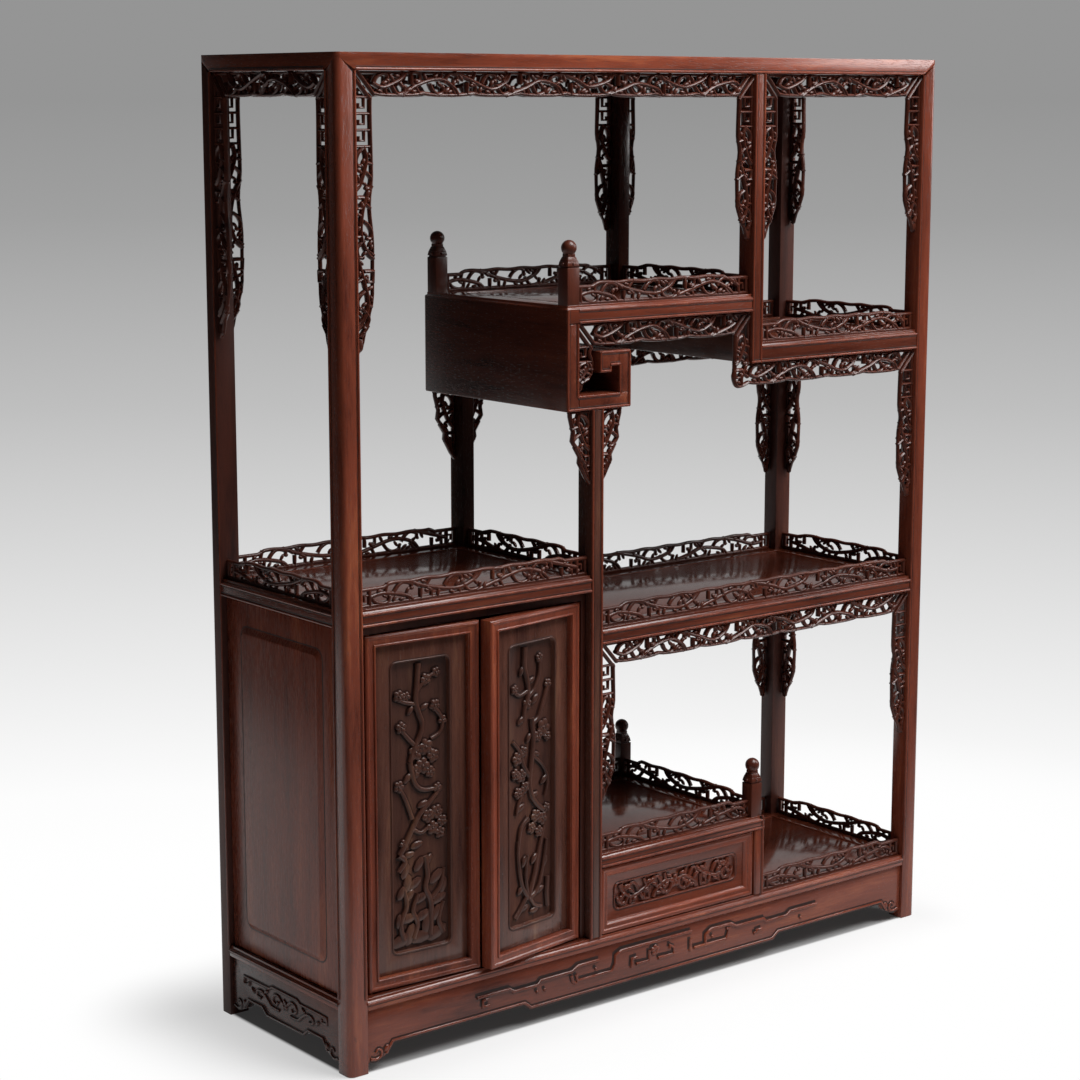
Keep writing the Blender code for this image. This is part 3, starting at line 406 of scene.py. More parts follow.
class Drawing:
    """Carver's drawing: strokes and leaves on a flat (along, up) sheet."""

    def __init__(self):
        self.strokes = []
        self.leaves = []

    def stroke(self, points, start, end=None):
        """A stem along the points, its half width going from start to end."""
        end = start if end is None else end
        last = max(1, len(points) - 1)
        self.strokes.append([(x, y, start + (end - start) * i / last) for i, (x, y) in enumerate(points)])

    def leaf(self, x, y, length, width, angle, lift=0.0):
        self.leaves.append((x, y, length, width, angle, lift))

    def moved(self, place):
        """The same drawing with each point put through a function."""
        other = Drawing()
        other.strokes = [[(*place(x, y), r) for x, y, r in stroke] for stroke in self.strokes]
        for x, y, length, width, angle, lift in self.leaves:
            a, b = place(x, y)
            c, d = place(x + 0.0001 * math.cos(angle), y + 0.0001 * math.sin(angle))
            other.leaves.append((a, b, length, width, math.atan2(d - b, c - a), lift))
        return other

    def add(self, other):
        self.strokes += other.strokes
        self.leaves += other.leaves

    def wider(self, extra):
        """The same drawing with each stroke and leaf wider all round."""
        other = Drawing()
        other.strokes = [[(x, y, r + extra) for x, y, r in stroke] for stroke in self.strokes]
        other.leaves = [(x, y, length + extra, width + extra, angle, 0.0)
                        for x, y, length, width, angle, _ in self.leaves]
        return other

    def carve(self, bm, plane, depth, leaf_depth=None):
        """Cuts the drawing: round stems stretched through the board's thickness, and leaves."""
        self.carve_stems(bm, plane, depth)
        thick = leaf_depth or depth * LEAF_THICK
        leaves = bmesh.new()
        for x, y, length, width, angle, lift in self.leaves:
            shape = (plane @ Matrix.Translation((x, y, lift)) @ Matrix.Rotation(angle, 4, "Z")
                     @ Matrix.Diagonal((length, width, thick, 1)))
            bmesh.ops.create_uvsphere(leaves, u_segments=8, v_segments=5, radius=1, matrix=shape)
        mesh = bpy.data.meshes.new("leaves")
        leaves.to_mesh(mesh)
        leaves.free()
        bm.from_mesh(mesh)
        bpy.data.meshes.remove(mesh)

    def carve_stems(self, bm, plane, depth):
        curve = bpy.data.curves.new("stems", "CURVE")
        curve.dimensions = "3D"
        curve.bevel_depth = 1
        curve.bevel_resolution = STEM_SIDES
        curve.use_fill_caps = True
        for stroke in self.strokes:
            spline = curve.splines.new("POLY")
            spline.points.add(len(stroke) - 1)
            for point, (x, y, radius) in zip(spline.points, stroke):
                point.co = (x, y, 0, 1)
                point.radius = radius
        maker = bpy.data.objects.new("stems", curve)
        bpy.context.scene.collection.objects.link(maker)
        mesh = bpy.data.meshes.new_from_object(maker)
        mesh.transform(plane @ Matrix.Diagonal((1, 1, depth, 1)))
        bm.from_mesh(mesh)
        bpy.data.objects.remove(maker)
        bpy.data.curves.remove(curve)
        bpy.data.meshes.remove(mesh)


def rounded_line(bounds, inset, radius, steps=5):
    """A closed line inside a rectangle (left, right, bottom, top), with round corners."""
    x0, x1, z0, z1 = bounds
    margin = inset + radius
    left, right, low, high = x0 + margin, x1 - margin, z0 + margin, z1 - margin
    points = []
    for turn, (x, z) in enumerate(((right, low), (right, high), (left, high), (left, low))):
        for i in range(steps + 1):
            angle = math.radians(turn * 90 - 90 + 90 * i / steps)
            points.append((x + radius * math.cos(angle), z + radius * math.sin(angle)))
    return points + points[:1]


def smooth_path(points, steps=6):
    """A Catmull-Rom curve through the points."""
    ends = [points[0], *points, points[-1]]
    path = []
    for a, b, c, d in zip(ends, ends[1:], ends[2:], ends[3:]):
        for i in range(steps):
            t = i / steps
            path.append(tuple(
                0.5 * (2 * q + (r - p) * t + (2 * p - 5 * q + 4 * r - s) * t * t
                       + (3 * q - p - 3 * r + s) * t ** 3)
                for p, q, r, s in zip(a, b, c, d)))
    return [*path, points[-1]]


def blossom(drawing, x, y, size, turn=0.0):
    """A plum blossom: five round petals and a boss."""
    for i in range(5):
        angle = turn + math.tau * i / 5
        drawing.leaf(x + size * 0.50 * math.cos(angle), y + size * 0.50 * math.sin(angle),
                     size * 0.52, size * 0.48, angle, 0.0003 * (i % 2))
    drawing.leaf(x, y, size * 0.20, size * 0.20, 0, 0.0008)


def sway(i):
    """A steady unevenness between -1 and 1, so that no two bays of the carving are alike."""
    return math.sin(2.4 * i + 0.7)


def pierced_vine(start, length, low_at, high_at, bay):
    """A thick stem that wanders along a pierced strip, tied to both edges by hooks, struts and leaves."""
    sizes = carving()
    drawing = Drawing()
    count = max(2, round(length / bay))
    step = length / count

    def point(s, share):
        return s, low_at(s) + (high_at(s) - low_at(s)) * share

    stem = [point(start, 0.5)]
    for i in range(count):
        side = 1 if i % 2 == 0 else -1
        middle = start + step * (i + 0.5 + 0.12 * sway(i))
        stem.append(point(middle, 0.5 + side * (0.15 + 0.09 * sway(i + 5))))
        if i % 3 == 1:
            stem.append(point(middle + 0.30 * step, 0.5 + side * 0.52))
            drawing.stroke(smooth_path(stem, 4), sizes.stem)
            stem = [point(middle + 0.12 * step, 0.5 - side * 0.52)]
        drawing.stroke([point(middle + 0.10 * step * sway(i), 0.5 + side * 0.15),
                        point(middle + 0.16 * step, 0.5 + side * 0.55)], sizes.tendril * 0.9)
        hook = [point(middle + a * step, 0.5 - side * b) for a, b in (
            (-0.50, 0.02), (-0.34, 0.30), (-0.08 + 0.06 * sway(i + 3), 0.47), (0.20, 0.38), (0.22, 0.14))]
        if i % 3 == 2:
            hook = [point(middle + a * step, 0.5 - side * b) for a, b in (
                (-0.30, -0.05), (-0.30, 0.24), (-0.30, 0.52), (0.16, 0.50), (0.16, 0.12), (-0.06, 0.12))]
            drawing.stroke(hook, sizes.tendril)
        else:
            drawing.stroke(smooth_path(hook, 3), sizes.tendril, sizes.tendril * 0.9)
        room = high_at(middle) - low_at(middle)
        lift = sizes.stem * 0.5
        drawing.leaf(*hook[-1], 0.14 * room, 0.11 * room, 0.6 * sway(i), lift)
        drawing.leaf(*point(middle + 0.42 * step, 0.5 - side * 0.30), 0.26 * room, 0.11 * room,
                     side * (0.9 + 0.3 * sway(i + 1)), lift)
        drawing.leaf(*point(middle - 0.20 * step, 0.5 + side * 0.36), 0.20 * room, 0.10 * room,
                     -side * 0.5 * sway(i + 4), lift)
        drawing.leaf(*point(middle + 0.04 * step, 0.5 - side * 0.04), 0.22 * room, 0.10 * room,
                     -side * (0.7 + 0.3 * sway(i + 2)), lift)
    stem.append(point(start + length, 0.5))
    drawing.stroke(smooth_path(stem, 4), sizes.stem)
    return drawing


def square_hooks(length, width, start, count):
    """Square hooks between cross bars."""
    sizes = carving()
    drawing = Drawing()
    step = length / count
    for i in range(count + 1):
        drawing.stroke([(start + step * i, 0), (start + step * i, width)], sizes.border)
    for i in range(count):
        low = start + step * i
        hook = [(low, 0.60 * width), (low + 0.64 * step, 0.60 * width), (low + 0.64 * step, 0.28 * width),
                (low + 0.36 * step, 0.28 * width)]
        drawing.stroke(hook, sizes.border)
    return drawing


# Share of a spandrel's drop, and its width there as a share of the full width
LOBES = ((0, 1.0), (0.12, 0.95), (0.37, 1.0), (0.46, 0.87), (0.61, 1.03), (0.79, 1.0), (0.86, 0.80),
         (0.94, 0.48), (1.0, 0.15))
RUNG = 0.0145
RUNG_SHARE = 0.17
SPANDREL_BAY = 0.0205
SPANDREL_STEPS = 26
LEAST_ROOM = 0.003
CUSP_BAY, CUSP_DEPTH = 0.056, 0.0018
BAR_APART = 0.0021
APRON_HEIGHT = 0.023
SPANDREL_WIDTH = 0.0205


def lobed_width(full, length):
    """Width of a hanging spandrel along its drop."""
    def width(drop):
        share = min(max(drop / length, 0), 1)
        for (low, narrow), (high, wide) in zip(LOBES, LOBES[1:]):
            if share <= high:
                t = (share - low) / (high - low)
                return full * (narrow + (wide - narrow) * (3 - 2 * t) * t * t)
        return full * LOBES[-1][1]

    return width


def spandrel_drawing(length, full, apron):
    """A spandrel as (drop, across): a ladder of rungs below the apron, then the vine to the tip."""
    sizes = carving()
    width = lobed_width(full, length)
    drawing = Drawing()
    drawing.stroke([(0, sizes.border), (length * 0.97, sizes.border)], sizes.border, sizes.border * 0.8)
    rungs = max(1, round(length * RUNG_SHARE / RUNG))
    reach = rungs * RUNG
    drawing.add(square_hooks(reach, full - sizes.rim, apron, rungs))
    turn = apron + reach
    fall = length * 0.985 - apron
    drops = [apron + fall * i / SPANDREL_STEPS for i in range(SPANDREL_STEPS + 1)]
    drawing.stroke([(s, max(width(s) - sizes.rim, sizes.border)) for s in drops], sizes.rim, sizes.rim * 0.7)
    drawing.add(pierced_vine(turn, length * 0.93 - turn, lambda s: sizes.border,
                             lambda s: max(width(s) - sizes.rim, LEAST_ROOM), SPANDREL_BAY))
    tip = length * 0.955
    drawing.leaf(tip, width(tip) * 0.50, 0.0075, width(tip) * 0.46, 0.0)
    return drawing


def apron_drawing(length, height, first, last):
    """An apron as (along, down): border beads, a cusped lower rim and the vine."""
    sizes = carving()
    drawing = Drawing()
    drawing.stroke([(0, sizes.border), (length, sizes.border)], sizes.border)
    run = length - first - last
    count = max(1, round(run / CUSP_BAY))

    def rim_at(s):
        cusp = CUSP_DEPTH * (1 - abs(math.sin(math.pi * count * (s - first) / run))) ** 2
        return height - sizes.rim - cusp

    steps = count * 8
    places = [first + run * i / steps for i in range(steps + 1)]
    drawing.stroke([(s, rim_at(s)) for s in places], sizes.rim)
    drawing.add(pierced_vine(first, run, lambda s: sizes.border, rim_at, sizes.wave))
    return drawing


def corner_bar(drawing, corner, inner):
    """The double bar of a mitred corner."""
    sizes = carving()
    (x0, z0), (x1, z1) = corner, inner
    shift = math.copysign(BAR_APART, x1 - x0)
    for way in (-1, 1):
        dx, dz = way * shift, way * BAR_APART
        drawing.stroke([(x0 + dx, z0 + dz), (x1 + dx, z1 + dz)], sizes.rim)


def hang_spandrel(drawing, x, top, drop, way):
    """A spandrel hung at an end of an apron, and its corner bar. It widens along the way from x."""
    spandrel = spandrel_drawing(drop, SPANDREL_WIDTH, APRON_HEIGHT)
    drawing.add(spandrel.moved(lambda s, v: (x + way * v, top - s)))
    corner_bar(drawing, (x, top), (x + way * SPANDREL_WIDTH, top - APRON_HEIGHT))


def hung_apron(low, high, top, left_drop, right_drop):
    """A whole apron with its two spandrels, as (along, up)."""
    drawing = Drawing()
    apron = apron_drawing(high - low, APRON_HEIGHT, SPANDREL_WIDTH, SPANDREL_WIDTH)
    drawing.add(apron.moved(lambda s, v: (low + s, top - v)))
    hang_spandrel(drawing, low, top, left_drop, 1)
    hang_spandrel(drawing, high, top, right_drop, -1)
    return drawing


def step_apron(low, corner, high, top, under, left_drop, right_drop):
    """The apron that turns down beside the step's post and goes on under the upper shelf."""
    width = SPANDREL_WIDTH
    drawing = Drawing()
    first = apron_drawing(corner - low, APRON_HEIGHT, width, width)
    drawing.add(first.moved(lambda s, v: (low + s, top - v)))
    second = apron_drawing(high - corner, APRON_HEIGHT, 0, width)
    drawing.add(second.moved(lambda s, v: (corner + s, under - v)))
    hang_spandrel(drawing, low, top, left_drop, 1)
    hang_spandrel(drawing, high, under, right_drop, -1)
    sizes = carving()
    free, low_end = corner - width, under - APRON_HEIGHT
    clear, fall_bay = 0.002, 0.019
    fall = pierced_vine(APRON_HEIGHT, top - low_end - APRON_HEIGHT - clear, lambda s: sizes.rim,
                        lambda s: width - sizes.border, fall_bay)
    drawing.add(fall.moved(lambda s, v: (free + v, top - s)))
    edge, foot = corner - sizes.border, under - sizes.border
    drawing.stroke([(edge, top), (edge, foot), (corner + width, foot)], sizes.border)
    rim = [(free + sizes.rim, top - APRON_HEIGHT), (free + sizes.rim, under - 0.004),
           (free + 0.0005, under - 0.013), (free + 0.004, low_end + 0.0015), (free + 0.011, low_end + 0.0005),
           (corner, low_end + sizes.rim + CUSP_DEPTH)]
    drawing.stroke(smooth_path(rim, 5), sizes.rim)
    corner_bar(drawing, (corner, top), (free, top - APRON_HEIGHT))
    return drawing


def gallery_drawing(length):
    """A gallery as (along, up): a foot bead, square hooks at the ends, the vine, and a stepped top band."""
    sizes = carving()
    low, high, hook = 0.0166, 0.0196, 0.0125
    foot, band_half, post_half = 0.0010, 0.0020, 0.0019
    step, slope = min(0.030, length / 4), 0.0025
    lump, lump_bay, dash = 0.0005, 0.034, 0.0035
    tongue = ((hook, 0.0110), (0.0068, 0.0110), (0.0068, 0.0055))

    def band(s):
        inside = min(s, length - s)
        rise = min(max((inside - step) / slope, 0), 1)
        return low + (high - low) * rise + lump * math.sin(math.tau * s / lump_bay) * rise

    drawing = Drawing()
    drawing.stroke([(0, foot), (length, foot)], band_half)
    count = max(8, round(length / dash))
    places = [length * i / count for i in range(count + 1)]
    drawing.stroke([(s, band(s)) for s in places], band_half)
    for way, end in ((1, 0), (-1, length)):
        for inside, half in ((post_half, post_half), (hook, sizes.tendril)):
            drawing.stroke([(end + way * inside, 0.0), (end + way * inside, low)], half)
        drawing.stroke([(end + way * x, z) for x, z in tongue], sizes.border)
    drawing.add(pierced_vine(hook, length - 2 * hook, lambda s: foot, band, sizes.wave * 1.3))
    return drawing


def carved(name, drawings, thick, body, nodes, grain="x"):
    """A carved piece from drawings, each with the plane that it lies on."""
    bm = bmesh.new()
    stem = carving().stem
    for drawing, plane in drawings:
        drawing.carve(bm, plane, thick / (2 * stem))
    piece(name, bm, [carved_wood(grain)], body, nodes, smooth_angle=60)


def flat_line(low, high, z, way):
    """A level bead between two ends, and the side on which its quirk lies."""
    return [(low, z), (high, z)], (0, way)


def upright_line(x, low, high, way):
    """The same for an upright bead."""
    return [(x, low), (x, high)], (way, 0)


# Tones of the boards, front and rear where both are given. Besides each board's own tone they hold painted light
# and shade: the rear pieces are darkened where shade falls, and the front rails follow how brightly each is lit.
POST_TONE, REAR_POST_SHADED_TONE = 1.10, 0.50
UPPER_TONES = {"front": 0.85, "rear": 0.32}
CENTRE_TONES = {"front": 0.56, "rear": 0.30}
TOP_TONES = {"x": 1.40, "y": 1.20}
SCROLL_SHADED_TONE, FACING_SHADED_TONE, BEAD_TONE = 0.80, 0.55, 1.15
RAIL_TONES = {"upper_shelf": 0.65, "cupboard_top": 0.75, "middle_shelf": 0.82, "base": 1.10}

POST_ROUND = 0.0062
ROUND_CUTS = 5
MITRE_SEAM = 0.0004
FINE_EDGE = 0.0004
THIN_EDGE = 0.0003
TOP_EDGE = 0.0010
RAIL_LIP = 0.0036
SLIVER = 0.00005
FIELD_SKIN = 0.0005
SIDE_MARGIN, SIDE_CORNER, SIDE_RAISED = 0.026, 0.010, 0.0025
SIDE_SLOPE, SIDE_RISE, SIDE_EDGE, SIDE_LINE = 0.0055, 0.0034, 0.0008, 0.0003
FACING_HALF, FACING_MARGIN, FACING_DROP = 0.0004, 0.0012, 0.0042


class CABINET_OT_carcass(bpy.types.Operator):
    """Posts, boards and panels with softened edges, and beads along the openings"""

    bl_idname = "cabinet.carcass"
    bl_label = "Carcass"

    def execute(self, context):
        for end in ("front", "rear"):
            for hand in ("left", "right"):
                self.corner_post(f"post_{end}_{hand}", hand == "left", end == "front")
            board(f"upper_post_{end}", [frame_wood("z", UPPER_TONES[end])])
            board(f"drawer_post_{end}", [frame_wood("z")])
            self.centre_post(f"centre_post_{end}", CENTRE_TONES[end])
        self.top_rails()
        board("top_panel", [shelf_wood("x")])
        for name in LEVELS:
            board(f"{name}_panel", [shelf_wood("x")])
        # The scroll box's boards are darkened as painted shade
        for name in ("scroll_side_board", "scroll_end_board", "scroll_bottom_board", "scroll_lip"):
            board(name, [frame_wood("y", SCROLL_SHADED_TONE)])
        board("step_riser", [panel_wood("y")])
        self.side_panel()
        self.scroll_facing()
        board("partition", [panel_wood("z")])
        board("drawer_side_panel", [panel_wood("y")])
        board("cupboard_back", [inner_wood("z")])
        board("drawer_back_panel", [inner_wood("x")])
        board("door_surround", [inner_wood("z")])
        self.beads()
        return {"FINISHED"}

    def corner_post(self, node, on_left, on_front):
        """A corner post with a round outer corner, mitred three ways at its top."""
        low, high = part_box(node)
        bm = bmesh.new()
        block(bm, low, high)
        outer = Vector((low.x if on_left else high.x, low.y if on_front else high.y, TOP))
        corner = [e for e in bm.edges
                  if all(abs(v.co.x - outer.x) < 1e-6 and abs(v.co.y - outer.y) < 1e-6 for v in e.verts)]
        bevel(bm, corner, POST_ROUND, 2 * ROUND_CUTS)
        seam = Vector((0, 0, -MITRE_SEAM))
        keep_side(bm, outer + seam, (1 if on_left else -1, 0, 1))
        keep_side(bm, outer + seam, (0, 1 if on_front else -1, 1))
        soften(bm, FINE_EDGE)
        # The rear posts are darker as painted shade
        wood = frame_wood("z", POST_TONE) if on_front else rear_wood("z", REAR_POST_SHADED_TONE)
        piece(f"{node}_wood", bm, [wood], "carcass", (node,))

    def top_rails(self):
        """The top's frame, with its corners cut as round as the posts under them."""
        bm = merged_copy("top_frame")
        for way, x in ((-1, LEFT), (1, RIGHT)):
            for fore, y in ((-1, FRONT), (1, BACK)):
                centre = Vector((x - way * POST_ROUND, y - fore * POST_ROUND, 0))
                for step in range(1, ROUND_CUTS + 1):
                    angle = math.pi / 2 * step / (ROUND_CUTS + 1)
                    out = Vector((way * math.cos(angle), fore * math.sin(angle), 0))
                    keep_side(bm, centre + out * POST_ROUND, out)
        soften(bm, TOP_EDGE)
        grain_by_side(bm, *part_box("top_frame"), (0, 1))
        woods = [frame_wood(grain, tone) for grain, tone in TOP_TONES.items()]
        piece("top_frame_wood", bm, woods, "carcass", ("top_frame",))

    def side_panel(self):
        """The left side's panel, with a broad slope round its raised field."""
        low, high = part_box("side_panel_left")
        bm = merged_copy("side_panel_left")
        recut_field(bm, lambda co: co.x < low[0] + FIELD_SKIN, SIDE_SLOPE, SIDE_RISE)
        soften(bm, SIDE_EDGE, 20)
        piece("side_panel_left_wood", bm, [side_wood("z")], "carcass", ("side_panel_left",))
        # A dark line round the field, as painted shade
        edge = Drawing()
        bounds = low[1], high[1], low[2], high[2]
        edge.stroke(rounded_line(bounds, SIDE_MARGIN, SIDE_CORNER), SIDE_LINE)
        shade_halo("side_panel_left_shade_line", edge, side_plane(low[0] + SIDE_RAISED), "carcass")

    def scroll_facing(self):
        """A thin facing over the joint between the scroll box's side board and the step shelf, its wood darkened
        as painted shade.
        """
        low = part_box("scroll_side_board")[0]
        near = Vector((low[0] - FACING_HALF, FRONT + FACING_MARGIN, low[2] + FACING_MARGIN))
        far = Vector((low[0] + FACING_HALF, BACK - FACING_MARGIN, LEVELS["step_shelf"] - FACING_DROP))
        bm = bmesh.new()
        block(bm, near, far)
        soften(bm, THIN_EDGE)
        piece("scroll_side_facing", bm, [frame_wood("y", FACING_SHADED_TONE)], "carcass", ())

    def centre_post(self, node, tone):
        """The post alone, cut clear of its brackets, which are carved with the fretwork."""
        bm = merged_copy(node)
        keep_side(bm, (CENTRE_RIGHT - SLIVER, 0, 0), (1, 0, 0))
        keep_side(bm, (CENTRE_LEFT + SLIVER, 0, 0), (-1, 0, 0))
        soften(bm, carving().edge)
        piece(f"{node}_wood", bm, [frame_wood("z", tone, AGED)], "carcass", (node,))

    def beads(self):
        """Round beads along the posts and rails, each with a quirk beside it: a dark strip of painted shade where
        a groove's shadow would fall.
        """
        r, groove = carving().bead, carving().quirk
        gap = r + groove
        faces = [(front_plane(FRONT), -1, self.front_lines(r)), (front_plane(BACK), 1, self.front_lines(r)),
                 (side_plane(LEFT), -1, self.side_lines(r, ("cupboard_top", "base"))),
                 (side_plane(RIGHT), 1, self.side_lines(r, ("upper_shelf", "middle_shelf", "base")))]
        beads, quirk_shades = bmesh.new(), bmesh.new()
        for plane, out, lines in faces:
            outward = -out if plane[1][2] else out
            bead, quirk = Drawing(), Drawing()
            for points, (dx, dz) in lines:
                bead.stroke(points, r)
                quirk.stroke([(x + dx * gap, z + dz * gap) for x, z in points], groove)
            bead.carve(beads, plane @ Matrix.Translation((0, 0, -outward * r * 0.25)), 1)
            quirk.carve(quirk_shades, plane @ Matrix.Translation((0, 0, -outward * groove * 0.80)), 1)
        piece("beads", beads, [frame_wood("z", BEAD_TONE)], "carcass", (), 60)
        piece("quirk_shades", quirk_shades, [quirk_shade_wood("z")], "carcass", (), 60)

    def front_lines(self, r):
        """Beads of the front or the back, each with the side on which its quirk lies."""
        base, box_bottom = LEVELS["base"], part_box("scroll_bottom_board")[0][2]
        step_under, upper_under = UNDERS["step_shelf"], UNDERS["upper_shelf"]
        side_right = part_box("scroll_side_board")[1][0]
        lines = [upright_line(INNER_LEFT - r, base, TOP_BOTTOM, -1),
                 upright_line(INNER_RIGHT + r, base, TOP_BOTTOM, 1),
                 upright_line(CENTRE_LEFT + r, base, box_bottom, 1),
                 upright_line(CENTRE_RIGHT - r, base, box_bottom, -1),
                 upright_line(UPPER_LEFT + r, upper_under, TOP_BOTTOM, 1),
                 upright_line(UPPER_RIGHT - r, upper_under, TOP_BOTTOM, -1),
                 upright_line(DRAWER_RIGHT - r, base, LEVELS["drawer_top"], -1),
                 flat_line(INNER_LEFT, INNER_RIGHT, TOP_BOTTOM + r, 1),
                 flat_line(UPPER_LEFT, INNER_RIGHT, upper_under + r, 1),
                 flat_line(side_right, UPPER_LEFT, step_under + r, 1)]
        rails = {"cupboard_top": (INNER_LEFT, CENTRE_LEFT), "middle_shelf": (CENTRE_RIGHT, INNER_RIGHT),
                 "drawer_top": (CENTRE_RIGHT, DRAWER_RIGHT)}
        lines += [flat_line(*ends, UNDERS[name] + r, 1) for name, ends in rails.items()]
        rails |= {"upper_shelf": (UPPER_RIGHT, INNER_RIGHT), "step_shelf": (side_right, UPPER_LEFT),
                  "base": (INNER_LEFT, INNER_RIGHT)}
        lines += [flat_line(*ends, LEVELS[name] - RAIL_LIP - r, -1) for name, ends in rails.items()]
        return lines + self.scroll_lines(r)

    def scroll_lines(self, r):
        """Beads along both edges of the scroll box's boards."""
        side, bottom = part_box("scroll_side_board"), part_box("scroll_bottom_board")
        end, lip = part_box("scroll_end_board"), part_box("scroll_lip")
        thick = end[1][0] - end[0][0]
        hook_low = lip[1][2] - thick
        left, right, low = side[0][0] + r, end[1][0] - r, side[0][2] + r
        top, hook_left, tail = lip[1][2] - r, lip[0][0] + r, lip[0][2] + r
        hook_right = lip[0][0] + thick - r
        in_left, in_right, in_low = side[1][0] - r, end[0][0] + r, bottom[1][2] - r
        return [upright_line(left, low, LEVELS["step_shelf"] - 0.004, 1), flat_line(left, right, low, 1),
                upright_line(right, low, top, -1), flat_line(hook_left, right, top, -1),
                upright_line(hook_left, tail, top, 1), flat_line(hook_left, hook_right, tail, 1),
                upright_line(hook_right, tail, hook_low, -1),
                flat_line(hook_right, in_right, hook_low + r, 1),
                upright_line(in_right, in_low, hook_low, 1), flat_line(in_left, in_right, in_low, -1),
                upright_line(in_left, in_low, UNDERS["step_shelf"], -1)]

    def side_lines(self, r, names):
        """Beads of a side: along the posts and the rails between them."""
        base = LEVELS["base"]
        lines = [upright_line(INNER_FRONT - r, base, TOP_BOTTOM, -1),
                 upright_line(INNER_BACK + r, base, TOP_BOTTOM, 1),
                 flat_line(INNER_FRONT, INNER_BACK, TOP_BOTTOM + r, 1)]
        for name in names:
            lines.append(flat_line(INNER_FRONT, INNER_BACK, LEVELS[name] - RAIL_LIP - r, -1))
            if name != "base":
                lines.append(flat_line(INNER_FRONT, INNER_BACK, UNDERS[name] + r, 1))
        return lines


RAIL_SHAVE = 0.00002
GALLERY_SET = 0.0085
GALLERY_END = 0.0006
GALLERY_THICK = 0.0052
FINIAL_CENTRE = 0.0094
# Blocks of a finial: foot, head, width at the foot and width at the head
FINIAL_BLOCKS = (
    (-0.0005, 0.0360, 0.0150, 0.0150), (0.0358, 0.0374, 0.0128, 0.0128), (0.0372, 0.0420, 0.0150, 0.0132),
    (0.0418, 0.0465, 0.0132, 0.0096), (0.0463, 0.0495, 0.0090, 0.0090))
FINIAL_EDGE = 0.0006
PIP_OUT, PIP_LEVEL, PIP_RADIUS = 0.0070, 0.0395, 0.0015
BALL_LEVEL, BALL_RADIUS = 0.0548, 0.0076


